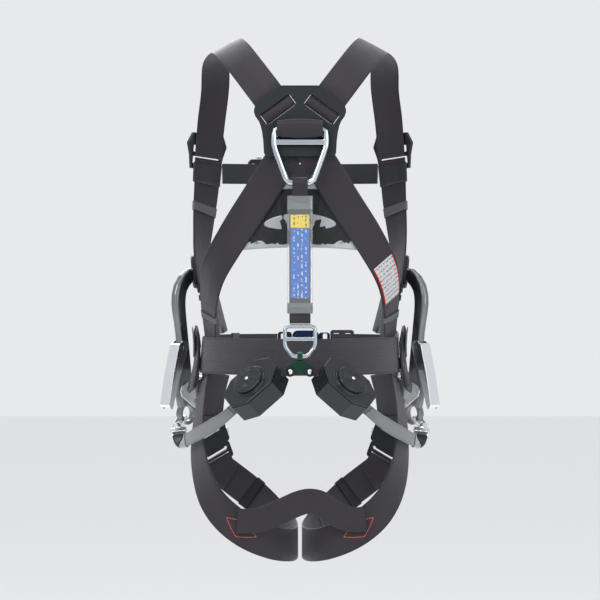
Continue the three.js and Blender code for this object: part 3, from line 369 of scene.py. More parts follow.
class Finish:
    """A procedural material, written as a chain of nodes."""

    def __init__(self, name, color, roughness, metallic=0.0, **sockets):
        self.material = bpy.data.materials.new(name)
        self.material.use_nodes = True
        self.tree = self.material.node_tree
        self.shader = self.tree.nodes["Principled BSDF"]
        self.shader.inputs["Base Color"].default_value = (*color, 1)
        self.shader.inputs["Roughness"].default_value = roughness
        self.shader.inputs["Metallic"].default_value = metallic
        self.shader.inputs["Specular IOR Level"].default_value = 0.5 if metallic else 0.2
        for socket, value in sockets.items():
            self.shader.inputs[socket.replace("_", " ")].default_value = value

    def node(self, kind, **settings):
        """A new node; a setting named in0, in1 ... fills that input, any other is a property."""
        made = self.tree.nodes.new("ShaderNode" + kind)
        sockets = {key: value for key, value in settings.items() if key.startswith("in")}
        for key in settings.keys() - sockets.keys():
            setattr(made, key, settings[key])
        for key, value in sockets.items():
            self.set(made.inputs[int(key[2:])], value)
        return made

    def set(self, socket, value):
        """Fills a socket with a number or with another node's output."""
        if isinstance(value, bpy.types.Node):
            value = value.outputs[0]
        if isinstance(value, bpy.types.NodeSocket):
            self.tree.links.new(value, socket)
        else:
            socket.default_value = value

    def math(self, operation, a, b=0.0, c=0.0):
        """One sum on up to three numbers or sockets."""
        return self.node("Math", operation=operation, in0=a, in1=b, in2=c)

    def times(self, a, b):
        """The product of two numbers or sockets."""
        return self.math("MULTIPLY", a, b)

    def ribs(self, offset, pitch):
        """Ribs so far apart along an offset: the absolute sine of it."""
        return self.math("ABSOLUTE", self.math("SINE", self.times(offset, math.pi / pitch)))

    def axes(self, source="UV"):
        """Separate x, y and z of the surface map, or of the object's own coordinates."""
        if source == "UV":
            place = self.node("UVMap", uv_map="surface")
        else:
            place = self.node("TexCoord").outputs["Object"]
        return self.node("SeparateXYZ", in0=place).outputs

    def noise(self, scale, detail=3.0, source="Object", stretch=None):
        """Noise of so many features to a metre."""
        place = self.node("UVMap", uv_map="surface").outputs[0] if source == "UV" else None
        place = place or self.node("TexCoord").outputs["Object"]
        if stretch:
            mapping = self.node("Mapping", in0=place)
            mapping.inputs["Scale"].default_value = stretch
            place = mapping.outputs[0]
        made = self.node("TexNoise")
        self.set(made.inputs["Vector"], place)
        made.inputs["Scale"].default_value = scale
        made.inputs["Detail"].default_value = detail
        return made.outputs["Fac"]

    def tint(self, factor, low, high):
        """Colour that runs from low to high as the factor runs from 0 to 1."""
        ramp = self.node("ValToRGB", in0=factor)
        ramp.color_ramp.elements[0].color = (*low, 1)
        ramp.color_ramp.elements[1].color = (*high, 1)
        self.set(self.shader.inputs["Base Color"], ramp)

    def gloss(self, factor, low, high):
        """Roughness that runs from low to high as the factor runs from 0 to 1."""
        spread = self.node("MapRange", in0=factor, in3=low, in4=high)
        self.set(self.shader.inputs["Roughness"], spread)

    def bump(self, height, depth, after=None):
        """A bump of a height from 0 to 1, so deep in metres."""
        made = self.node("Bump")
        made.inputs["Strength"].default_value = 1.0
        made.inputs["Distance"].default_value = depth
        self.set(made.inputs["Height"], height)
        if after:
            self.tree.links.new(after.outputs["Normal"], made.inputs["Normal"])
        self.tree.links.new(made.outputs["Normal"], self.shader.inputs["Normal"])
        return made


# %% [markdown]
# ### The weave
#
# An image of webbing would repeat and carry its own light. Two sets of ribs, multiplied, give the
# same crossing yarns at any distance, and the strap's own map keeps them straight round each
# bend. A slow noise wears the colour and the gloss, and a fine one stands for loose fibre. The
# weave's height also lightens the colour on the raised yarns, which is painted shade in the
# hollows between them.

# %% Webbing finish


def webbing(name, color, bright, width, rib=1.25 * MM, pick=0.9 * MM, slant=0.5, depth=0.16 * MM,
            rough=0.5):
    """Twill: ribs along the strap, picks across it that slant with the twill, and rolled edges.

    Rib height is the absolute sine of the offset across; a pick's is the same of the distance along
    plus a share of the offset across. Their product is the weave, and it fades to a plain selvedge.
    The weave also lightens the colour on its raised yarns: painted shade between them.
    """
    finish = Finish(name, color, rough, Sheen_Weight=0.25, Sheen_Roughness=0.4)
    across, along = finish.axes()[0], finish.axes()[1]
    ribs = finish.ribs(across, rib)
    lean = finish.math("MULTIPLY_ADD", finish.math("ABSOLUTE", across), slant, along)
    picks = finish.ribs(lean, pick)
    weave = finish.times(finish.math("POWER", ribs, 0.6), finish.math("POWER", picks, 0.5))
    edge = finish.node("MapRange", in0=finish.math("ABSOLUTE", across), in1=width / 2 - 3.2 * MM,
                       in2=width / 2 - 2.6 * MM, in3=1.0, in4=0.35)
    height = finish.times(weave, edge)
    wear = finish.noise(28.0, 4.0, "UV", (1.0, 0.35, 1.0))
    fibre = finish.noise(900.0, 2.0, "UV", (1.0, 0.2, 1.0))
    # The colour mixes random wear with the weave's height: raised yarns are lighter, which is
    # painted shade in the weave's hollows.
    wear_and_weave_shade = finish.math("MULTIPLY_ADD", wear, 0.55, finish.times(height, 0.4))
    finish.tint(finish.math("MULTIPLY_ADD", fibre, 0.18, wear_and_weave_shade), color, bright)
    finish.gloss(wear, rough - 0.08, rough + 0.14)
    finish.bump(height, depth, finish.bump(fibre, 0.05 * MM))
    return finish.material


CHEST = 29 * MM
LANYARD = 18 * MM
strap_finish = webbing("webbing", (0.008, 0.0068, 0.009), (0.027, 0.0235, 0.03), STRAP, rough=0.42)
belt_finish = webbing("belt webbing", (0.016, 0.015, 0.019), (0.058, 0.054, 0.064), BELT,
                      rib=2.4 * MM, pick=0.8 * MM, slant=0.0, depth=0.3 * MM, rough=0.62)
chest_finish = webbing("chest webbing", (0.007, 0.008, 0.011), (0.026, 0.028, 0.036), CHEST,
                       rib=1.1 * MM)
lanyard_finish = webbing("lanyard webbing", (0.07, 0.078, 0.081), (0.22, 0.235, 0.24), LANYARD,
                         rib=1.5 * MM, pick=1.1 * MM, rough=0.55)

# %% [markdown]
# ### The strap's shape
#
# A plane with a thickness would do for a flat strap, but a real one has half-round edges, a
# slight camber and a slow ripple where it has been folded. So one closed outline is carried along
# the line, and the same function serves the body straps, the lanyards, their sleeves and every
# keeper.

# %% Strap surface


def strap_section(width, thickness, camber, columns=20, roll=4):
    """Closed outline of a strap: two flat faces joined by half-round edges, as offset and height.

    A face's height falls from its middle by camber times the square of the relative offset, and
    each edge is a half circle in equal angles.
    """
    radius = thickness / 2
    face = np.linspace(-1, 1, columns) * (width / 2 - radius)
    crown = radius - camber * (face / (width / 2)) ** 2
    angle = np.linspace(math.pi / 2, -math.pi / 2, roll + 2)[1:-1]
    rim = radius - camber
    right = np.stack([width / 2 - radius + rim * np.cos(angle), rim * np.sin(angle)], 1)
    top = np.stack([face, crown], 1)
    bottom = np.stack([face[::-1], -crown[::-1]], 1)
    return np.concatenate([top, right, bottom, right[::-1] * [-1, 1]])


def strap_surface(name, line, width, material, thickness=WEB, ripple=0.35 * MM, phase=0.0,
                  start=0.0, end=None, body="frame", camber=0.25 * MM):
    """A strap's section carried along its line, with a slow ripple that bends it up and down.

    The ripple is a sum of two sines of the distance along, larger towards the edges of the strap.
    """
    section = strap_section(width, thickness, camber)
    end = line.length if end is None else end
    count = max(int((end - start) / STEP), 4)
    distance = np.linspace(start, end, count + 1)
    point, _, out, side = line.at(distance)
    offset, height = section[:, 0], section[:, 1]
    wave = np.sin(distance / (31 * MM) + phase) + 0.6 * np.sin(distance / (13 * MM) + 2.1 * phase)
    swell = ripple * wave[:, None] * (offset / (width / 2))[None, :] ** 2
    rise = height[None, :] + swell
    beside = side[:, None, :] * offset[None, :, None]
    points = point[:, None, :] + beside + out[:, None, :] * rise[..., None]
    columns = len(section)
    faces = grid_faces(count + 1, columns).tolist()
    faces.append(list(range(columns)))
    faces.append(list(range(count * columns, (count + 1) * columns))[::-1])
    uv = np.stack(np.broadcast_arrays(offset[None, :], distance[:, None]), -1).reshape(-1, 2)
    return make_piece(name, points, faces, material, body, uv)


# %% [markdown]
# ## Lanyards
#
# Each lanyard is a grey webbing that runs from the winder's mouth round the hip to the hook. It
# is the only free line of the harness, so it comes first. A clear grey sleeve and a rubber cover
# protect its last stretch, where the swivel holds it.

# %% Lanyards
LANYARD_THICK = 3 * MM


def plain(name, color, roughness, metallic=0.0, grain=None, depth=0.05 * MM, spread=0.06,
          **sockets):
    """A finish of one colour whose gloss varies slowly, with a fine grain as bump."""
    finish = Finish(name, color, roughness, metallic, **sockets)
    slow = finish.noise(35.0, 5.0)
    finish.gloss(slow, roughness - spread, roughness + spread)
    if grain:
        finish.bump(finish.noise(grain, 3.0), depth)
    return finish


sleeve_finish = plain("grey sleeve", (0.2, 0.22, 0.23), 0.3, grain=260, depth=0.3 * MM,
                      Coat_Weight=0.5).material
rubber_finish = plain("black rubber", (0.008, 0.008, 0.009), 0.55, grain=700,
                      depth=0.12 * MM).material

lanyards = {}
for word, side in SIDES:
    line = line_of(f"lanyard_web_{word}", LANYARD, LANYARD_THICK)
    lanyards[word] = line
    web = strap_surface(f"lanyard_{word}", line, LANYARD, lanyard_finish, LANYARD_THICK,
                        ripple=0.25 * MM, body=None, camber=0.15 * MM,
                        phase=side)
    ends = line.length
    sleeve = strap_surface(f"lanyard_sleeve_{word}", line, 22 * MM, sleeve_finish, 5 * MM,
                           start=ends - 66 * MM, end=ends - 36 * MM, ripple=0.5 * MM,
                           camber=0.6 * MM)
    cover = strap_surface(f"lanyard_cover_{word}", line, 24 * MM, rubber_finish, 7 * MM,
                          start=ends - 38 * MM, end=ends - 4 * MM, ripple=0.3 * MM,
                          camber=1.2 * MM)
    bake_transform(web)
    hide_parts(f"lanyard_web_{word}")
    print(f"lanyard_{word}: {line.length * 1000:.1f} mm")

# %% [markdown]
# ## Thread
#
# Every seam is a row of raised stitches, each a small ellipsoid a little sunk into the webbing. A
# seam is given as corner points on the strap's own map, so the same few words draw a zigzag, a
# box or a diamond on any strap, and the stitches follow its curve.

# %% Stitch tools


BOLD_STITCH = (3.2, 1.1, 0.7)


def thread_finish(name, color):
    """Twisted sewing thread: one soft colour under a very fine grain."""
    return plain(name, color, 0.55, grain=2500, depth=0.08 * MM, Sheen_Weight=0.3).material


red_thread = thread_finish("orange red thread", (0.62, 0.07, 0.025))
dark_thread = thread_finish("dark thread", (0.018, 0.017, 0.02))
grey_thread = thread_finish("blue grey thread", (0.13, 0.16, 0.2))


def stitches(name, line, seams, material, pitch=3.4 * MM, size=(2.7, 0.8, 0.55)):
    """Ellipsoids at an even pitch along seams, each a list of (distance along, offset across).

    An ellipsoid's point is its centre plus half its length, width and height times the cosine of
    the angle from its long axis, and the sine of it times the cosine and sine of the turn about it.
    """
    centres, headings = [], []
    for seam in seams:
        corners = np.array(seam, float)
        runs = np.linalg.norm(np.diff(corners, axis=0), axis=1)
        reach = np.concatenate([[0], np.cumsum(runs)])
        places = np.arange(pitch / 2, reach[-1], pitch)
        centres.append(np.stack([np.interp(places, reach, corners[:, k]) for k in (0, 1)], 1))
        which = np.clip(np.searchsorted(reach, places) - 1, 0, len(runs) - 1)
        headings.append((np.diff(corners, axis=0) / runs[:, None])[which])
    centres, headings = np.concatenate(centres), np.concatenate(headings)
    place, along, out, side = line.at(centres[:, 0], centres[:, 1], WEB / 2)
    ahead = unit(along * headings[:, :1] + side * headings[:, 1:])
    beside = np.cross(out, ahead)
    tilt = np.linspace(0.35, math.pi - 0.35, 4)
    turn = np.linspace(0, 2 * math.pi, 6, endpoint=False)
    shape = np.stack([
        np.broadcast_to(np.cos(tilt)[:, None], (4, 6)),
        np.sin(tilt)[:, None] * np.cos(turn)[None, :],
        np.sin(tilt)[:, None] * np.sin(turn)[None, :],
    ], -1).reshape(-1, 3) * np.array(size) * MM / 2
    axes = np.stack([ahead, beside, out], 1)
    points = place[:, None, :] + np.einsum("pk,ckd->cpd", shape, axes)
    quads = grid_faces(4, 6)[:, ::-1]
    faces = (quads[None] + 24 * np.arange(len(place))[:, None, None]).reshape(-1, 4).tolist()
    print(f"{name}: {len(place)} stitches")
    for cap in (np.arange(6), np.arange(18, 24)[::-1]):
        faces += (cap[None] + 24 * np.arange(len(place))[:, None]).tolist()
    return make_piece(name, points, faces, material, "frame")


def box_seam(centre, long, wide, crossed=True):
    """A box on the strap's map about (distance, offset), with its diagonals."""
    d, a = centre
    corners = [(d - long, a - wide), (d + long, a - wide), (d + long, a + wide), (d - long,
                                                                                  a + wide)]
    seams = [corners + corners[:1]]
    if crossed:
        seams += [[corners[0], corners[2]], [corners[1], corners[3]]]
    return seams


# %% [markdown]
# ## Straps
#
# The shoulder straps run from the plate over the shoulders to the front adjusters, the back
# straps cross behind the plate and go to the hips, the side straps join chest and belt, and the
# leg straps loop round the thighs. All are the same 45 mm webbing, so all share one finish.

# %% Main straps
SEAT = 34 * MM
lines = {}
for word, side in SIDES:
    for part in ("shoulder_strap", "back_strap", "side_strap", "leg_strap", "leg_riser"):
        node = f"{part}_{word}"
        axis = (side * 0.075, 0.0, 0) if part.startswith("leg") else (0.0, 0.0, 0)
        lines[node] = line_of(node, axis=axis)
        web = strap_surface(f"{node}_web", lines[node], STRAP, strap_finish, phase=len(node) + side)
        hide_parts(node)

lines["waist_belt"] = line_of("waist_belt", BELT)
belt = strap_surface("waist_belt_web", lines["waist_belt"], BELT, belt_finish,
                     ripple=0.2 * MM)
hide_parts("waist_belt")
for word, side in SIDES:
    node = f"chest_strap_{word}"
    lines[node] = line_of(node, CHEST)
    web = strap_surface(f"{node}_web", lines[node], CHEST, chest_finish, ripple=0.2 * MM)
    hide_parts(node)
lines["seat_strap"] = line_of("seat_strap", SEAT)
seat = strap_surface("seat_strap_web", lines["seat_strap"], SEAT, strap_finish, ripple=0.9 * MM,
                     phase=1.0)
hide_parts("seat_strap")
for name, line in lines.items():
    print(name, f"{line.length * 1000:.0f} mm")

# %% [markdown]
# ### Seams
#
# Load goes through the stitches, so they are where a reader of the harness looks: orange pairs
# and diamonds at the load seams, dark rows along the back straps and a grey box on the chest
# strap. Each is placed by a height or a place that its strap passes, and so stays with the strap.

# %% Seams
for word, side in SIDES:
    shoulder, back = lines[f"shoulder_strap_{word}"], lines[f"back_strap_{word}"]
    flank, leg = lines[f"side_strap_{word}"], lines[f"leg_strap_{word}"]
    edge = STRAP / 2 - 2.6 * MM
    stitches(f"back_strap_seam_{word}", back, [[(0.075, e), (back.length - 0.05,
                                                             e)] for e in (-edge, edge)],
             dark_thread, pitch=3.0 * MM)
    cross = back.nearest(0.262)
    stitches(f"back_strap_joint_{word}", back, [[(cross, -edge), (cross + 6 * MM, edge)]],
             dark_thread)
    low = shoulder.length - 48 * MM
    rows = [[(low + k * 5 * MM, -14 * MM), (low + k * 5 * MM, 14 * MM)] for k in (0, 1)]
    stitches(f"shoulder_seam_{word}", shoulder, rows, red_thread, size=BOLD_STITCH)
    low = flank.nearest(0.16)
    rows = [[(low + k * 9 * MM, -13 * MM), (low + k * 9 * MM, 13 * MM)] for k in (0, 1)]
    stitches(f"side_strap_seam_{word}", flank, rows, red_thread, size=BOLD_STITCH)
    riser = lines[f"leg_riser_{word}"]
    stitches(f"riser_seam_{word}", riser, box_seam((riser.length * 0.72, 0), 5 * MM, 14 * MM,
                                                   False),
             red_thread, size=BOLD_STITCH)
    at = leg.beside([side * 0.082, 0.112, -0.233])
    diamond = [(at - 24 * MM, 0), (at, 13 * MM), (at + 24 * MM, 0), (at, -13 * MM)]
    stitches(f"leg_seam_{word}", leg, [diamond + diamond[:1]], red_thread, size=(3.0, 1.1, 0.7))
    chest = lines[f"chest_strap_{word}"]
    stitches(f"chest_seam_{word}", chest, box_seam((12 * MM, 0), 7 * MM, 10 * MM), grey_thread)

belt_line = lines["waist_belt"]
at = belt_line.beside([0.07, -0.095, 0])
stitches("belt_seam", belt_line, box_seam((at, 0), 12 * MM, 16 * MM), dark_thread)

# %% [markdown]
# ## Metal and moulded parts
#
# The CAD's corners are sharp. A forged or moulded part never is, so each one is a copy whose
# edges are rounded by a bevel, with normals that keep its flats flat. Bent rods and forgings are
# copies remeshed on a fine grid and relaxed, which turns their facets into one continuous
# surface.

# %% Hard finishes


def metal(name, color, roughness, grain, depth):
    """Bare metal: one colour, a slow change of gloss and a fine grain so many to the metre."""
    return plain(name, color, roughness, 1.0, grain=grain, depth=depth * MM).material


steel = metal("steel", (0.43, 0.48, 0.53), 0.24, 420, 0.06)
bright_steel = metal("bright steel", (0.68, 0.7, 0.73), 0.27, 500, 0.05)
dark_steel = metal("dark green steel", (0.022, 0.06, 0.042), 0.3, 600, 0.05)
belt_steel = metal("dark belt steel", (0.09, 0.09, 0.1), 0.34, 600, 0.05)
# The hook's bar is the same aluminium as its lever, given a darker colour that stands for the dark
# surroundings its polished faces reflect: a painted reflection.
hook_bar_painted_reflection = metal("hook aluminium", (0.2, 0.21, 0.22), 0.33, 320, 0.1)
hook_silver = metal("hook silver", (0.72, 0.74, 0.77), 0.26, 500, 0.06)
black_plastic = plain("black plastic", (0.011, 0.012, 0.015), 0.4, grain=1400,
                      depth=0.06 * MM).material
plate_plastic = plain("matt plate", (0.012, 0.015, 0.018), 0.52, grain=900, depth=0.1 * MM).material
winder_plastic = plain("winder plastic", (0.01, 0.011, 0.013), 0.27, grain=1200, depth=0.05 * MM,
                       Coat_Weight=0.3).material
navy_plastic = plain("navy plastic", (0.006, 0.02, 0.062), 0.22, grain=700, depth=0.04 * MM,
                     Coat_Weight=0.6, Transmission_Weight=0.12).material


def copy_of(node, name, material):
    """A merged copy of a CAD node that shows in its place and rides on its body."""
    source = frame["nodes"][node]
    mesh = bmesh.new()
    mesh.from_mesh(source.data)
    bmesh.ops.remove_doubles(mesh, verts=mesh.verts, dist=0.01 * MM)
    bmesh.ops.dissolve_limit(mesh, angle_limit=math.radians(1.5), verts=mesh.verts,
                             edges=mesh.edges)
    data = bpy.data.meshes.new(name)
    mesh.to_mesh(data)
    mesh.free()
    data.materials.append(material)
    data.polygons.foreach_set("use_smooth", np.ones(len(data.polygons), bool))
    piece = bpy.data.objects.new(name, data)
    bpy.context.scene.collection.objects.link(piece)
    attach(piece, source["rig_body"])
    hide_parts(node)
    return piece


def rounded_copy(node, material, slot, radius):
    """A copy whose edges sharper than thirty degrees are rounded."""
    piece = copy_of(node, f"{node}_rounded", material)
    bevel = piece.modifiers.new("bevel", "BEVEL")
    bevel.width = radius
    bevel.segments = 3
    bevel.limit_method = "ANGLE"
    bevel.angle_limit = math.radians(30)
    bevel.harden_normals = True
    piece.data.set_sharp_from_angle(angle=math.radians(30))
    return piece


def relaxed_copy(node, material, slot, grain, turns):
    """A copy remeshed on a grid so fine, relaxed so many turns and swelled back to its size."""
    piece = copy_of(node, f"{node}_forged", material)
    remesh = piece.modifiers.new("remesh", "REMESH")
    remesh.mode = "VOXEL"
    remesh.voxel_size = grain
    remesh.use_smooth_shade = True
    relax = piece.modifiers.new("relax", "SMOOTH")
    relax.iterations = turns
    relax.factor = 0.5
    grow = piece.modifiers.new("swell", "DISPLACE")
    grow.strength = 0.12 * MM
    grow.mid_level = 0.0
    return piece


# %% [markdown]
# ### Which part gets which
#
# Forged and bent metal flows from one face to the next, so it is remeshed and relaxed. Moulded
# and stamped parts keep their flats, so only their edges are rounded. The size after each slot is
# the remesh's grain or the edge's radius, and the count is how often the surface is relaxed.

# %% Hard parts
BLACK, LIGHT = "black_plastic", "aluminium"  # slots
PAIRS = (
    (relaxed_copy, "hook_body", hook_bar_painted_reflection, LIGHT, 0.9 * MM, 6),
    (rounded_copy, "hook_gate", hook_silver, LIGHT, 1.0 * MM),
    (rounded_copy, "hook_lever", hook_silver, LIGHT, 0.5 * MM),
    (relaxed_copy, "hook_swivel", bright_steel, "steel", 0.7 * MM, 4),
    (relaxed_copy, "hook_hanger", black_plastic, BLACK, 0.7 * MM, 6),
    (rounded_copy, "shoulder_adjuster", black_plastic, BLACK, 0.9 * MM),
    (rounded_copy, "winder_case", winder_plastic, BLACK, 1.6 * MM),
    (rounded_copy, "winder_cover", winder_plastic, BLACK, 1.2 * MM),
    (rounded_copy, "winder_spool", black_plastic, BLACK, 0.4 * MM),
    (rounded_copy, "leg_buckle", black_plastic, BLACK, 1.0 * MM),
    (rounded_copy, "leg_adjuster", black_plastic, BLACK, 1.0 * MM),
    (rounded_copy, "leg_tab_inner", bright_steel, LIGHT, 0.6 * MM),
    (rounded_copy, "leg_tab_outer", bright_steel, LIGHT, 0.6 * MM),
)
SINGLES = (
    (rounded_copy, "dorsal_plate", plate_plastic, BLACK, 1.1 * MM),
    (relaxed_copy, "dorsal_ring", steel, "steel", 0.6 * MM, 8),
    (relaxed_copy, "lower_ring", steel, "steel", 0.5 * MM, 6),
    (relaxed_copy, "belt_ring", steel, "steel", 0.5 * MM, 4),
    (rounded_copy, "winder_link", dark_steel, "dark_steel", 0.7 * MM),
    (rounded_copy, "chest_slider", black_plastic, BLACK, 0.8 * MM),
    (rounded_copy, "chest_buckle_body", black_plastic, BLACK, 0.9 * MM),
    (rounded_copy, "chest_buckle_tongue", black_plastic, BLACK, 0.9 * MM),
    (rounded_copy, "chest_tab_upper", bright_steel, LIGHT, 0.6 * MM),
    (rounded_copy, "chest_tab_lower", bright_steel, LIGHT, 0.6 * MM),
    (rounded_copy, "belt_adjuster", belt_steel, "dark_steel", 0.9 * MM),
    (rounded_copy, "belt_buckle_body", navy_plastic, "blue_plastic", 1.6 * MM),
    (rounded_copy, "belt_buckle_tongue", black_plastic, BLACK, 0.9 * MM),
)
for word, _ in SIDES:
    for make, part, *rest in PAIRS:
        make(f"{part}_{word}", *rest)
for make, node, *rest in SINGLES:
    make(node, *rest)
print(2 * len(PAIRS) + len(SINGLES), "hard parts")

# %% [markdown]
# ## Padding
#
# Between the crossed straps lies a pad of air mesh, bound with silver-grey tape at the top and
# the bottom. The mesh is a grid of small holes, far too many to cut, so they are bump and painted
# shade on the pad's own map. The pouches are plain nylon, and the badge is a plain oval of silver
# film.

# %% Padding finishes


def air_mesh():
    """Black spacer fabric: a staggered grid of small holes over its own map in metres."""
    finish = Finish("air mesh", (0.01, 0.01, 0.012), 0.78, Sheen_Weight=0.15)
    across, along = finish.axes()[0], finish.axes()[1]
    pitch = 3.2 * MM
    first = finish.math("SINE", finish.times(across, 2 * math.pi / pitch))
    second = finish.math("SINE", finish.times(along, 2 * math.pi / pitch))
    holes = finish.math("MULTIPLY_ADD", finish.times(first, second), 0.5, 0.5)
    # Each hole is darker than the fabric round it: painted shade, since the holes are not cut.
    finish.tint(holes, (0.004, 0.004, 0.005), (0.03, 0.031, 0.036))
    finish.bump(holes, 0.7 * MM)
    return finish.material


def cloth(name, color, bright, rough=0.7):
    """Plain weave nylon: two sets of sine ribs at right angles on the piece's own map."""
    finish = Finish(name, color, rough, Sheen_Weight=0.2)
    slow = finish.noise(60.0, 4.0)
    across, along = finish.axes()[0], finish.axes()[1]
    pitch = 0.9 * MM
    finish.tint(slow, color, bright)
    finish.bump(finish.times(finish.ribs(across, pitch), finish.ribs(along, pitch)), 0.2 * MM)
    return finish.material


mesh_fabric = air_mesh()
pouch_cloth = cloth("pouch cloth", (0.012, 0.011, 0.014), (0.032, 0.03, 0.037))
silver_tape = cloth("silver tape", (0.27, 0.29, 0.3), (0.42, 0.44, 0.45), 0.45)
badge_silver = plain("plain badge", (0.3, 0.31, 0.33), 0.4, 0.35, grain=300,
                     depth=0.06 * MM).material

# %% [markdown]
# ### The pad's own map
#
# The CAD pad gives the true outline and the curve of the back. Its points come in pairs, one on
# each face, and their middles carry a smooth surface: every finer point takes a weighted average
# of them.

# %% Pad surface
PAD_TOP, PAD_BOTTOM = 0.229, 0.142
PAD_TOP_HALF, PAD_BOTTOM_HALF = 26 * MM, 98 * MM
PAD_THICK = 5 * MM
PAD_SAG = 6 * MM


def pad_sides():
    """The CAD pad's points on its middle surface, with the direction of its thickness at each."""
    points, _ = corners_of("back_pad")
    gaps = np.linalg.norm(points[:, None] - points[None], axis=2)
    partner = points[np.argmin(abs(gaps - PAD_THICK), axis=1)]
    outer = np.hypot(points[:, 0], points[:, 1]) > np.hypot(partner[:, 0], partner[:, 1])
    return (points[outer] + partner[outer]) / 2, unit(points[outer] - partner[outer])


pad_middle, pad_facing = pad_sides()
print(len(pad_middle), "pairs of pad points")


def on_pad(across, share, lift):
    """A point of the pad's map, from -1 to 1 across and 0 to 1 down, raised by a lift.

    The height falls evenly from top to bottom and sags in the middle by a parabola. The depth is an
    average of the CAD pad's own points, each weighed by the inverse fourth power of its distance.
    """
    across, share, lift = np.broadcast_arrays(across, share, lift)
    half = PAD_TOP_HALF + (PAD_BOTTOM_HALF - PAD_TOP_HALF) * share
    x = half * across
    z = PAD_TOP + (PAD_BOTTOM - PAD_TOP) * share + PAD_SAG * share * (1 - across**2)
    square = (x[..., None] - pad_middle[:, 0]) ** 2 + (z[..., None] - pad_middle[:, 2]) ** 2
    weight = 1 / (square + (1.5 * MM) ** 2) ** 2
    weight /= weight.sum(axis=-1, keepdims=True)
    base = np.stack([x, weight @ pad_middle[:, 1], z], -1)
    return base + unit(weight @ pad_facing) * lift[..., None]


# %% [markdown]
# ### Quilted pieces
#
# A padded piece is two faces that share a sewn edge and swell between it. The function takes any
# map, so the pad, its bindings, the pouches, their flaps, the labels and the slot webs are all
# made by it.

# %% Quilt


def quilt(name, place, thickness, puff, material, size, rows=40, columns=60, waves=0.0):
    """A closed pad over a map: two faces that swell from their shared edge.

    A face's height is half the thickness times a fourth-power dome of each map direction, plus a
    puff of the same shape, plus a low wave of two sines for the fabric's slackness.
    """
    u = np.linspace(-1, 1, columns)[None, :]
    v = np.linspace(0, 1, rows)[:, None]
    dome = (np.clip(1 - u**8, 0, 1) * np.clip(1 - (2 * v - 1) ** 10, 0, 1)) ** 0.5
    wave = waves * np.sin(9 * u + 5 * v) * np.sin(7 * v - 3 * u) * dome
    lift = (thickness / 2 + puff * (1 - u**2) * (1 - (2 * v - 1) ** 2)) * dome + wave
    outer = place(u, v, lift + 0.25 * MM)
    inner = place(u, v, -thickness / 2 * dome - 0.25 * MM)[:, ::-1]
    points = np.concatenate([outer, inner], axis=1)
    count = 2 * columns
    faces = grid_faces(rows, count).tolist()
    top = np.arange(count)
    bottom = (rows - 1) * count + top
    for ring, order in ((top, 1), (bottom, -1)):
        for k in range(columns - 1):
            faces.append([int(ring[j]) for j in (k + 1, k, count - 1 - k, count - 2 - k)][::order])
    uv_u = np.concatenate([u, u[:, ::-1]], axis=1) * size[0] / 2
    uv = np.stack(np.broadcast_arrays(uv_u, v * size[1]), -1).reshape(-1, 2)
    return face_out(make_piece(name, points, faces, material, "frame", uv))


def face_out(piece):
    """Turns all faces of a closed piece outward."""
    mesh = bmesh.new()
    mesh.from_mesh(piece.data)
    bmesh.ops.recalc_face_normals(mesh, faces=mesh.faces)
    if mesh.calc_volume(signed=True) < 0:
        bmesh.ops.reverse_faces(mesh, faces=mesh.faces)
    mesh.to_mesh(piece.data)
    mesh.free()
    return piece


# %% [markdown] ### Settling the cloth  Foam and mesh never lie as evenly as a formula. A short
# cloth simulation, with the sewn edge pinned and a little air inside, gives the small hollows
# and folds.

# %% Settle and make the back pad
FRAMES = 24
SEAM_GAP = 1.2 * MM
MOST_MOVE = 1.8 * MM


def slacken(piece, rows, pressure, shrink):
    """Lets a quilt's cloth settle: its seam stays, its faces fill with air and hang under gravity.

    The seam is where the two faces meet, so its points are pinned. The cloth is a little larger or
    smaller than the pattern by the shrink, and the result is kept as the piece's own mesh.
    """
    mesh = piece.data
    flat = np.empty(len(mesh.vertices) * 3, np.float32)
    mesh.vertices.foreach_get("co", flat)
    points = flat.reshape(-1, 3)
    held = piece.vertex_groups.new(name="seam")
    outer, inner = np.moveaxis(points.reshape(rows, 2, -1, 3), 1, 0)
    close = np.linalg.norm(outer - inner[:, ::-1], axis=2) < SEAM_GAP
    close = np.concatenate([close, close[:, ::-1]], axis=1).ravel()
    held.add(np.flatnonzero(close).tolist(), 1.0, "REPLACE")
    cloth_modifier = piece.modifiers.new("cloth", "CLOTH")
    settings = cloth_modifier.settings
    settings.quality = 6
    settings.mass = 0.15
    settings.tension_stiffness = settings.compression_stiffness = 40
    settings.bending_stiffness = 4
    settings.use_pressure = True
    settings.uniform_pressure_force = pressure
    settings.shrink_min = shrink
    settings.vertex_group_mass = "seam"
    cloth_modifier.point_cache.frame_start = 1
    cloth_modifier.point_cache.frame_end = FRAMES
    for number in range(1, FRAMES + 1):
        bpy.context.scene.frame_set(number)
    evaluated = piece.evaluated_get(bpy.context.evaluated_depsgraph_get())
    moved = np.empty(len(mesh.vertices) * 3, np.float32)
    evaluated.data.vertices.foreach_get("co", moved)
    piece.modifiers.remove(cloth_modifier)
    shift = np.clip(moved.reshape(-1, 3) - points, -MOST_MOVE, MOST_MOVE)
    mesh.vertices.foreach_set("co", (points + shift).ravel())
    mesh.update()
    bpy.context.scene.frame_set(1)
    print(f"{piece.name}: cloth moved by up to {abs(shift).max() * 1000:.2f} mm")


PAD_ROWS = 40
pad = quilt("back_pad_mesh", on_pad, PAD_THICK, 1.5 * MM, mesh_fabric,
            (2 * PAD_BOTTOM_HALF, PAD_TOP - PAD_BOTTOM), PAD_ROWS, waves=0.3 * MM)
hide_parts("back_pad")
slacken(pad, PAD_ROWS, 0.6, -0.02)


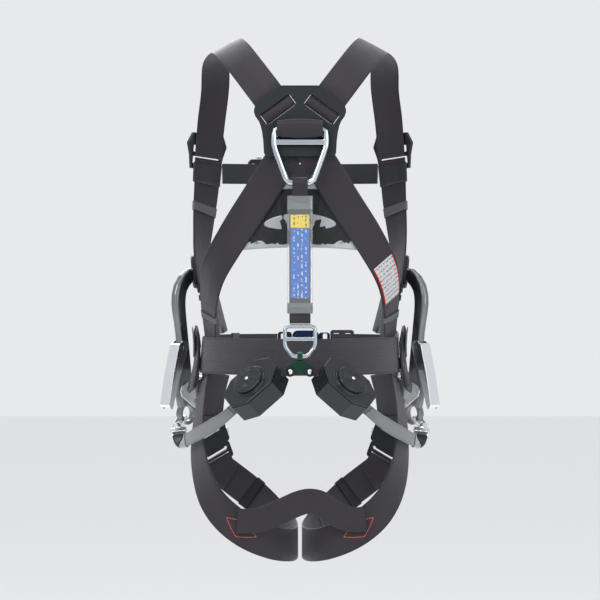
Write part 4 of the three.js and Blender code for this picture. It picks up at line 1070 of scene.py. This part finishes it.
# %% [markdown]
# ### Bindings and badge
#
# Tape folded over the pad's raw edges keeps the mesh from fraying, and a maker would sew a badge
# on top. The tapes are quilts over a thin slice of the pad's map. The badge is a plain oval with
# a rounded rim, laid on the same map, and it carries no words.

# %% Bindings and badge


def pad_band(name, low, high, lift, material):
    """A closed band across the pad between two shares of its height, wrapped over both faces."""
    def place(u, v, rise):
        """The band's map is a slice of the pad's, a little narrower."""
        return on_pad(0.985 * u, low + (high - low) * v, rise)
    quilt(name, place, lift, 0.0, material, (2 * PAD_BOTTOM_HALF, (high - low) * 0.09),
          rows=8)


pad_band("pad_binding_bottom", 0.87, 1.03, PAD_THICK + 2.2 * MM, silver_tape)
pad_band("pad_binding_top", -0.03, 0.07, PAD_THICK + 1.6 * MM, silver_tape)


def badge(name, across, down, half_width, half_height, material):
    """A plain oval on the pad: rings of an ellipse whose height falls at the rim as a circle."""
    share = np.sqrt(np.linspace(0, 1, 9))[:, None]
    turn = np.linspace(0, 2 * math.pi, 64, endpoint=False)[None, :]
    width_here = PAD_TOP_HALF + (PAD_BOTTOM_HALF - PAD_TOP_HALF) * down
    u = across + share * np.cos(turn) * half_width / width_here
    v = down + share * np.sin(turn) * half_height / (PAD_TOP - PAD_BOTTOM)
    rise = PAD_THICK / 2 + 1.9 * MM + 0.5 * MM * np.sqrt(1 - 0.97 * share**6) + 0 * turn
    top = on_pad(u, v, rise)
    under = on_pad(u[-1:], v[-1:], PAD_THICK / 2)
    points = np.concatenate([top.reshape(-1, 3), under.reshape(-1, 3)])
    faces = grid_faces(10, 64).tolist()
    faces.append(list(range(64)))
    faces.append(list(range(9 * 64, 10 * 64))[::-1])
    face_out(make_piece(name, points, faces, material, "frame"))


badge("pad_badge", 0.0, 0.60, 47 * MM, 12 * MM, badge_silver)

# %% [markdown]
# ## Pouches
#
# A small pouch sits over the belt at each hip. A box would look hard, so it is a quilt like the
# pad, a little narrower at both ends, with slack waves in its faces and a flap that lies over its
# top.

# %% Pouches
POUCH, POUCH_THICK, POUCH_ROWS = 50 * MM, 7 * MM, 36
for word, side in SIDES:
    line = line_of(f"side_pouch_{word}", POUCH, POUCH_THICK)

    def on_pouch(u, v, rise):
        """The strap's own map, narrower at both ends by the square of the height."""
        u, v, rise = np.broadcast_arrays(u, v, rise)
        return line.at(v * line.length, u * 25 * MM * (1 - 0.12 * (2 * v - 1) ** 2), rise)[0]

    def on_flap(u, v, rise):
        """The same map over the pouch's top; its lower edge rises at the sides as u squared."""
        u, v, rise = np.broadcast_arrays(u, v, rise)
        drop = v * (0.44 - 0.10 * u**2)
        return line.at((0.03 + drop) * line.length, u * 25.5 * MM, rise + 5.2 * MM)[0]

    pouch = quilt(f"pouch_{word}", on_pouch, POUCH_THICK, 2.5 * MM, pouch_cloth,
                  (POUCH, line.length), POUCH_ROWS, 30, 1.1 * MM)
    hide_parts(f"side_pouch_{word}")
    slacken(pouch, POUCH_ROWS, 1.2, -0.04)
    quilt(f"pouch_flap_{word}", on_flap, 1.4 * MM, 0.5 * MM, pouch_cloth,
          (POUCH, 40 * MM), 20, 24, 0.35 * MM)

# %% [markdown]
# ## Shock absorber
#
# The absorber is a folded webbing that tears open in a fall, packed in a clear film sleeve.
# Inside lie a yellow and a blue card with plain marks. The sleeve is one rounded section carried
# down the pack and pinched at both ends, where the film is welded.

# %% Absorber
PACK_TOP = 0.214
PACK_BOTTOM = 0.058
PACK_WIDTH = 34 * MM
PACK_DEPTH = 9 * MM
ring_low, ring_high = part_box("dorsal_ring")
RING_Y = float(ring_low[1] + ring_high[1]) / 2


def tube_section(width, depth, power, columns=40):
    """Rounded rectangle: a superellipse, as offsets across and through."""
    turn = np.linspace(0, 2 * math.pi, columns, endpoint=False)
    cos, sin = np.cos(turn), np.sin(turn)
    shape = (abs(cos) ** power + abs(sin) ** power) ** (-1 / power)
    return np.stack([width / 2 * cos * shape, depth / 2 * sin * shape], 1)


def upright(name, low, high, width, depth, material, front=0.0, pinch=0.0, creases=0.0,
            power=4.0, steps=60):
    """A rounded section carried up the ring's plane in even steps.

    The depth falls at both ends by the pinch times the eighth power of the relative height, and
    creases add a sum of sines of the height that changes across the width.
    """
    section = tube_section(width, depth, power)
    share = np.linspace(-1, 1, steps)[:, None]
    height = (low + high) / 2 + (high - low) / 2 * share
    x = section[None, :, 0] + 0 * share
    swell = 1 - pinch * share**8
    folds = np.sin(220 * height + 90 * x) + np.sin(340 * height - 130 * x)
    crease = creases * folds * np.sign(section[:, 1])
    y = RING_Y + front + section[None, :, 1] * swell + crease * swell * (1 - share**6)
    points = np.stack(np.broadcast_arrays(x, y, height), -1)
    count = len(section)
    faces = grid_faces(steps, count).tolist()
    faces += [list(range(count)), list(range((steps - 1) * count, steps * count))]
    uv = np.stack(np.broadcast_arrays(x, height), -1).reshape(-1, 2)
    return face_out(make_piece(name, points, faces, material, "frame", uv))


# %% [markdown]
# ### Film and cards
#
# Heat-shrunk film is clear, a little wavy and glossy, so it is a thin transmitting surface with a
# slow bump. The cards carry instructions on a real harness; here a stretched noise cut at a
# threshold gives rows of marks that say nothing.

# %% Absorber finishes


def film():
    """Clear film with shallow waves."""
    finish = Finish("clear film", (0.93, 0.96, 0.97), 0.12, Transmission_Weight=0.92, IOR=1.25,
                    Coat_Weight=0.5)
    finish.bump(finish.noise(140.0, 4.0, stretch=(1.0, 1.0, 0.3)), 0.25 * MM)
    return finish.material


def card(name, color, mark, blocks):
    """A card with plain marks: rows of short bars where a stretched noise passes a threshold."""
    finish = Finish(name, color, 0.45)
    across, along = finish.axes()[0], finish.axes()[1]
    rows = finish.math("PINGPONG", finish.times(across, 1 / (2.6 * MM)), 1.0)
    words = finish.noise(blocks, 1.0, "UV", (0.6, 1.0, 1.0))
    shown = finish.times(finish.math("GREATER_THAN", rows, 0.62),
                         finish.math("GREATER_THAN", words, 0.55))
    inside = finish.math("LESS_THAN", finish.math("ABSOLUTE", across), 10 * MM)
    finish.tint(finish.times(shown, inside), color, mark)
    return finish.material


clear_film = film()
blue_card = card("blue card", (0.004, 0.13, 0.5), (0.55, 0.6, 0.65), 260.0)
yellow_card = card("yellow card", (0.78, 0.6, 0.02), (0.06, 0.05, 0.02), 330.0)
pack_grey = plain("grey film end", (0.12, 0.135, 0.14), 0.3, grain=300, depth=0.3 * MM,
                  Coat_Weight=0.5).material

# %% [markdown]
# ### The pack, from the inside out
#
# The folded webbing comes first, then the two cards in front of it, the grey welded ends and the
# sleeve over all. Separate closed pieces show real depth through the film, which one textured
# block would not.

# %% Absorber pack
CARD_WIDTH, CARD_THICK, CARD_FRONT = 25 * MM, 0.7 * MM, 3.1 * MM
CARDS = (("blue", 0.078, 0.171, blue_card), ("yellow", 0.1715, 0.189, yellow_card))
WELDED_ENDS = (("top", 0.196, 0.2138), ("bottom", 0.0582, 0.072))
TAIL_BOTTOM = 0.0446
upright("absorber_core", PACK_BOTTOM + 4 * MM, PACK_TOP - 2 * MM, 28 * MM, 5.4 * MM, strap_finish,
        creases=0.2 * MM)
for name, low, high, finish in CARDS:
    upright(f"absorber_card_{name}", low, high, CARD_WIDTH, CARD_THICK, finish,
            front=CARD_FRONT, power=10)
for name, low, high in WELDED_ENDS:
    upright(f"absorber_end_{name}", low, high, PACK_WIDTH - 1 * MM, 7.6 * MM, pack_grey,
            creases=0.25 * MM, steps=24)
sleeve = upright("absorber_sleeve", PACK_BOTTOM, PACK_TOP, PACK_WIDTH, PACK_DEPTH, clear_film,
                 pinch=0.35, creases=0.22 * MM, steps=90)
upright("absorber_tail", TAIL_BOTTOM, PACK_BOTTOM + 6 * MM, 28 * MM, 4.2 * MM, strap_finish,
        steps=30)
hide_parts("absorber_pack")
print(f"absorber pack {(PACK_TOP - PACK_BOTTOM) * 1000:.0f} mm long")


# %% [markdown]
# ### The webbing eye
#
# The absorber hangs on the dorsal ring by an eye of webbing that turns with it. A torus would be
# too even: a real eye is a half circle over the bar and two legs that close towards the pack.

# %% Webbing eye
EYE_BAR = 0.231
EYE_RADIUS = 4 * MM + 2.3 * MM
EYE_GAP = 2.2 * MM


def eye_path(low):
    """A teardrop: a half circle over the ring's bar, then two straight legs down to a height."""
    arc = np.linspace(0, math.pi, 24)
    y = np.concatenate([[EYE_GAP], EYE_RADIUS * np.cos(arc), [-EYE_GAP]])
    z = np.concatenate([[low], EYE_BAR + EYE_RADIUS * np.sin(arc), [low]])
    return np.stack([np.zeros_like(y), y + RING_Y, z], 1)


class Loop(Line):
    """A line whose points are fine already and whose outward directions are known."""

    def __init__(self, centre, out):
        self.settle(centre, out)


centre = eye_path(float(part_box("absorber_eye")[0][2]))
facing = unit(centre - np.array([0, RING_Y, EYE_BAR]))
facing[0], facing[-1] = (0, 1, 0), (0, -1, 0)
eye = strap_surface("absorber_eye_web", Loop(centre, facing), 21 * MM, strap_finish, 3 * MM,
                    ripple=0.1 * MM, body="dorsal_ring")
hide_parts("absorber_eye")
print("eye down from", EYE_BAR, "m")

# %% [markdown]
# ## Small parts
#
# What is left is small but seen at once when it is missing: the webbing rolled round the ring's
# top bar, the webbing that shows in the plate's slots, the winders' dials, elastic keepers,
# labels with plain marks, and rivets. Each is placed from the CAD or from a strap's line, never
# by eye alone.

# %% Roll over the ring and webbing in the slots
PLATE_MIDDLE = np.array([0.0, 0.1274, 0.3137])
PLATE_OUT = unit(np.array([0.0, 1.0, 0.024]))
PLATE_UP = np.cross(PLATE_OUT, [-1.0, 0.0, 0.0])
SLOT_X, SLOT_V, SLOT_TILT = 29 * MM, 15 * MM, 0.63
SLOT_LONG, SLOT_SHORT = 23.3 * MM, 8.0 * MM
ROLL_MIDDLE, ROLL_HALF = 0.3035, 30.5 * MM


def ring_roll():
    """Webbing rolled round the ring's top bar.

    The section is a superellipse, higher than deep. Its size falls a little towards both ends, and
    two soft creases run along it where the folded layers meet.
    """
    turn = np.linspace(0, 2 * math.pi, 56, endpoint=False)[None, :]
    share = np.linspace(-1, 1, 50)[:, None]
    shape = (abs(np.cos(turn)) ** 2.6 + abs(np.sin(turn)) ** 2.6) ** (-1 / 2.6)
    upper, lower = np.exp(-((turn - 0.75) / 0.1) ** 2), np.exp(-((turn - 5.4) / 0.12) ** 2)
    crease = 1 - 0.07 * upper - 0.05 * lower
    size = shape * crease * (1 - 0.05 * share**4) * (1 + 0.012 * np.sin(9 * share + 3 * turn))
    y = RING_Y + 6.1 * MM * size * np.cos(turn)
    z = ROLL_MIDDLE + (12.6 * MM - 2.2 * MM * share**2) * size * np.sin(turn)
    x = ROLL_HALF * share + 0 * turn
    points = np.stack([x, y, z], -1)
    faces = grid_faces(50, 56).tolist()
    faces += [list(range(56)), list(range(49 * 56, 50 * 56))]
    uv = np.stack(np.broadcast_arrays(14 * MM * np.sin(turn), x), -1).reshape(-1, 2)
    return face_out(make_piece("ring_roll", points, faces, strap_finish, "frame", uv))


ring_roll()
for word, side in SIDES:
    middle_slot = PLATE_MIDDLE + PLATE_UP * SLOT_V + np.array([side * SLOT_X, 0, 0])
    run = -math.sin(SLOT_TILT) * np.array([side, 0, 0]) - math.cos(SLOT_TILT) * PLATE_UP
    long = math.cos(SLOT_TILT) * np.array([side, 0, 0]) - math.sin(SLOT_TILT) * PLATE_UP

    def in_slot(u, v, rise):
        """The slot's rectangle in the plate's plane, arched over its width by a parabola."""
        u, v, rise = np.broadcast_arrays(u, v, rise)
        arch = -1.9 * MM + 3.2 * MM * (1 - (2 * v - 1) ** 2)
        flat = middle_slot + u[..., None] * SLOT_LONG * long
        flat = flat + (2 * v - 1)[..., None] * SLOT_SHORT * run
        return flat + PLATE_OUT * (rise + arch)[..., None]

    quilt(f"slot_web_{word}", in_slot, 1.8 * MM, 0.0, strap_finish, (STRAP, 16 * MM), 18,
          40)

# %% [markdown]
# ### Webbing round the buckle bars
#
# A strap's end runs under the bar of its buckle, up through the slot and back on top of itself.
# One curve through seven places draws that, and the webbing turns from the strap's own width
# direction to the buckle's on the way, as a sewn loop does.

# %% Loops at the leg buckles
BAR_IN, SLOT_IN, BAR_GAP = 2.25 * MM, 4.75 * MM, 1.4 * MM
LOOP_WIDTH = 40 * MM


def bar_web(name, line, toward, node):
    """Webbing from under a strap's end, round the bar of a buckle and back on top of the strap.

    The curve is a Catmull-Rom spline through two places under the strap, one under the bar, one in
    the slot, one over the bar and two on top of the strap.
    """
    points, _ = corners_of(node)
    spread, axes = np.linalg.eigh(np.cov((points - points.mean(axis=0)).T))
    out = axes[:, 0] * np.sign(axes[:, 0] @ points.mean(axis=0))
    out = unit(out - toward * (out @ toward))
    side = np.cross(toward, out)
    level, shift = points @ out, points @ side
    half = (level.max() - level.min()) / 2
    bar = (toward * ((points @ toward).max() - BAR_IN) + out * (level.max() + level.min()) / 2
           + side * (shift.max() + shift.min()) / 2)
    width_way = line.at(line.length)[3]
    side = side * np.sign(side @ width_way)
    lift = 2.5 * MM
    path = np.array([
        line.at(line.length - 14 * MM, 0, -lift)[0],
        line.at(line.length - 2 * MM, 0, -lift)[0],
        bar - out * (half + BAR_GAP),
        bar - toward * SLOT_IN,
        bar + out * (half + BAR_GAP),
        line.at(line.length - 2 * MM, 0, lift)[0],
        line.at(line.length - 16 * MM, 0, lift)[0],
    ])
    widths = np.array([width_way, width_way, side, side, side, width_way, width_way])
    places = np.linspace(0, len(path) - 1, 55)
    curve, across = smooth_rows(path, places), unit(smooth_rows(widths, places))
    strap_surface(name, Loop(curve, np.cross(across, np.gradient(curve, axis=0))), LOOP_WIDTH,
                  strap_finish, WEB, ripple=0.1 * MM)


for word, side in SIDES:
    riser, leg = lines[f"leg_riser_{word}"], lines[f"leg_strap_{word}"]
    upward = unit(riser.points[-1] - leg.points[-1])
    bar_web(f"leg_riser_loop_{word}", riser, upward, f"leg_buckle_{word}")
    bar_web(f"leg_strap_loop_{word}", leg, -upward, f"leg_adjuster_{word}")

# %% [markdown]
# ### Winder dials and mouths
#
# A winder's cover carries a moulded dial with a hub and fluted rim, held by one screw. Grooves in
# the height of a disc give it in one surface, and no boolean is needed. The webbing's root runs
# into the case, so that no gap opens when the winder swings.

# %% Winder dials and mouths


def across_axis(out, aside, radius, turn):
    """Offsets in the plane across an axis: the radius times the cosine and the sine of the turn."""
    side_way = unit(np.cross(out, aside))
    up_way = np.cross(side_way, out)
    spread = np.cos(turn)[..., None] * side_way + np.sin(turn)[..., None] * up_way
    return radius[..., None] * spread


def dial(name, centre, out, radius, body):
    """A moulded disc with rings and flutes.

    Its height over the cover is a hub, a low ring wave of the radius and, near the rim, a cosine of
    thirty-six times the turn; the rim falls as a quarter circle.
    """
    rings, columns = 44, 144
    share = np.linspace(0.02, 1, rings)[:, None]
    turn = np.linspace(0, 2 * math.pi, columns, endpoint=False)[None, :]
    hub = 1.6 * MM / (1 + np.exp((share - 0.24) * 90))
    wave = 0.45 * MM * np.sin(share * 26) ** 2 * (share > 0.3) * (share < 0.72)
    flute = 0.4 * MM * np.cos(36 * turn) * np.exp(-(((share - 0.83) / 0.07) ** 2))
    height = (1.6 * MM + hub + wave + flute) * np.sqrt(np.clip(1 - share**24, 0, 1))
    flat = across_axis(out, [0.0, 0.0, 1.0], share * radius, turn)
    top = centre + flat + out * height[..., None]
    base = centre + flat[-1:] - out * 3.4 * MM
    points = np.concatenate([top, base]).reshape(-1, 3)
    faces = grid_faces(rings + 1, columns).tolist()
    faces += [list(range(columns)), list(range(rings * columns, (rings + 1) * columns))]
    face_out(make_piece(name, points, faces, winder_plastic, body))


def dome(name, centre, out, radius, body="frame"):
    """A rivet head: a spherical cap of rings, as high as half its radius."""
    share = np.linspace(0.08, 1, 8)[:, None]
    turn = np.linspace(0, 2 * math.pi, 20, endpoint=False)[None, :]
    flat = across_axis(out, [0.31, 0.2, 0.93], share * radius, turn)
    top = centre + flat + out * (radius * 0.5 * np.sqrt(1 - share**2))[..., None]
    points = np.concatenate([top, centre + flat[-1:] - out * 0.4 * MM]).reshape(-1, 3)
    faces = grid_faces(9, 20).tolist() + [list(range(20)), list(range(160, 180))]
    face_out(make_piece(name, points, faces, bright_steel, body))


for word, side in SIDES:
    out = unit(np.array([side * 0.53, 0.6, 0.6]))
    points, _ = corners_of(f"winder_cover_{word}")
    height = points @ out
    face = points[height > height.max() - 0.05 * MM]
    centre = (face.max(axis=0) + face.min(axis=0)) / 2
    centre = centre + out * (height.max() - centre @ out)
    dial(f"winder_dial_{word}", centre, out, 21 * MM, f"winder_{word}")
    dome(f"winder_screw_{word}", centre + out * 3.1 * MM, out, 2.6 * MM, f"winder_{word}")
    line = lanyards[word]
    back = -line.along[0]
    ends = line.points[0] + back * np.array([[0.2], [8], [18]]) * MM
    root_line = Loop(ends[::-1], np.repeat(line.out[:1], 3, axis=0))
    strap_surface(f"lanyard_root_{word}", root_line, LANYARD, lanyard_finish, LANYARD_THICK,
                  ripple=0.0, body=f"winder_{word}", camber=0.15 * MM)
    link_middle = np.array([side * 13 * MM, RING_Y + 9 * MM, -19 * MM])
    dome(f"link_rivet_{word}", link_middle, np.array([0.0, 1.0, 0.0]), 3.4 * MM)

# %% [markdown]
# ### Keepers and sliders
#
# Loose ends are held by elastic keepers and moulded sliders. Each is a short, thicker band on the
# strap's own line, so it follows the strap's bend and twist, and one function makes them all.

# %% Keepers and sliders


def band(name, line, at, length, width, thickness, material, camber=0.5 * MM):
    """A short band round a strap, centred on a distance along it."""
    strap_surface(name, line, width, material, thickness, ripple=0.15 * MM, start=at - length / 2,
                  end=at + length / 2, camber=camber)


elastic = plain("grey elastic", (0.085, 0.09, 0.095), 0.6, grain=1500, depth=0.15 * MM).material
for word, side in SIDES:
    flank, leg = lines[f"side_strap_{word}"], lines[f"leg_strap_{word}"]
    back = lines[f"back_strap_{word}"]
    band(f"chest_loop_{word}", flank, flank.nearest(0.25), 29 * MM, 50 * MM, 6.2 * MM, chest_finish,
         camber=0.8 * MM)
    band(f"side_keeper_{word}", flank, flank.nearest(0.2), 13 * MM, 48 * MM, 5.4 * MM, elastic)
    band(f"side_slider_{word}", flank, flank.nearest(0.092), 10 * MM, 50 * MM, 7 * MM,
         black_plastic)
    band(f"side_slider_bar_{word}", flank, flank.nearest(0.08), 7 * MM, 50 * MM, 6.4 * MM,
         black_plastic, camber=0.9 * MM)
    band(f"leg_keeper_{word}", leg, leg.length - 52 * MM, 14 * MM, 48.5 * MM, 5.6 * MM,
         rubber_finish)
    band(f"leg_fold_{word}", leg, leg.length - 110 * MM, 5 * MM, 46.5 * MM, 4.4 * MM, strap_finish)
    band(f"back_keeper_{word}", back, back.nearest(0.05), 9 * MM, 48.5 * MM, 5.6 * MM, elastic)

# %% [markdown]
# ### Labels
#
# A harness carries woven labels with its inspection data. These are thin patches on the strap's
# map, with a coloured rim and rows of bars where noise passes a threshold, so they read as print
# from afar and hold no words.

# %% Labels


def marked_label(name, ground, ink, edge):
    """A woven label: a ground with a coloured edge and rows of plain bars."""
    finish = Finish(name, ground, 0.5)
    across, along = finish.axes()[0], finish.axes()[1]
    rows = finish.math("PINGPONG", finish.times(along, 1 / (3.2 * MM)), 1.0)
    words = finish.noise(420.0, 1.0, "UV")
    shown = finish.times(finish.math("GREATER_THAN", rows, 0.6),
                         finish.math("GREATER_THAN", words, 0.5))
    rim = finish.math("GREATER_THAN", finish.math("ABSOLUTE", across), 17 * MM)
    inside = finish.times(shown, finish.math("SUBTRACT", 1.0, rim))
    ink_mix = finish.node("Mix", data_type="RGBA")
    finish.set(ink_mix.inputs[0], inside)
    ink_mix.inputs[6].default_value, ink_mix.inputs[7].default_value = (*ground, 1), (*ink, 1)
    edge_mix = finish.node("Mix", data_type="RGBA")
    finish.set(edge_mix.inputs[0], rim)
    finish.tree.links.new(ink_mix.outputs[2], edge_mix.inputs[6])
    edge_mix.inputs[7].default_value = (*edge, 1)
    finish.tree.links.new(edge_mix.outputs[2], finish.shader.inputs["Base Color"])
    return finish.material


def label(name, line, start, end, half_width, material):
    """A thin patch over a stretch of a strap."""
    def place(u, v, rise):
        """The strap's own map between two distances, just above its face."""
        u, v, rise = np.broadcast_arrays(u, v, rise)
        return line.at(start + (end - start) * v, u * half_width, rise + WEB / 2 + 0.4 * MM)[0]
    quilt(name, place, 0.5 * MM, 0.0, material, (2 * half_width, abs(end - start)), 24, 24)


silver_label = marked_label("silver label", (0.42, 0.43, 0.44), (0.12, 0.12, 0.13),
                            (0.5, 0.015, 0.012))
red_label = marked_label("red label", (0.48, 0.014, 0.012), (0.75, 0.75, 0.75), (0.01, 0.01, 0.01))
near_hip = lines["back_strap_right"].nearest(0.075)
label("back_label", lines["back_strap_right"], near_hip - 62 * MM, near_hip, 18.5 * MM,
      silver_label)
at = belt_line.beside([0.112, -0.072, 0])
label("belt_label", belt_line, at - 13 * MM, at + 13 * MM, 20 * MM, red_label)
band("belt_keeper", belt_line, belt_line.beside([0.095, -0.086, 0]), 12 * MM, 54 * MM, 5.6 * MM,
     elastic)

# %% [markdown]
# ### Buckle rivets
#
# Four rivets hold each quick buckle's plates. A buckle is turned freely in space, so its own axes
# are found from the spread of its points: the smallest spread is its thickness.

# %% Buckle rivets
for node, group in (("chest_buckle_body", "chest"), ("leg_buckle_left", "leg_left"),
                    ("leg_buckle_right", "leg_right")):
    points, _ = corners_of(node)
    centre = (points.max(axis=0) + points.min(axis=0)) / 2
    spread, axes = np.linalg.eigh(np.cov((points - points.mean(axis=0)).T))
    out = axes[:, 0] * np.sign(axes[:, 0] @ centre)
    height = ((points - centre) @ out).max()
    reach = [abs((points - centre) @ axes[:, k]).max() for k in (1, 2)]
    long_way, cross_way = axes[:, 1] * reach[0] * 0.6, axes[:, 2] * reach[1] * 0.45
    for k, (a, b) in enumerate(((1, 1), (1, -1), (-1, 1), (-1, -1))):
        place = centre + out * height + a * long_way + b * cross_way
        dome(f"{group}_rivet_{k}", place - out * 0.3 * MM, out, 1.9 * MM)


# %% [markdown]

# %% [markdown]
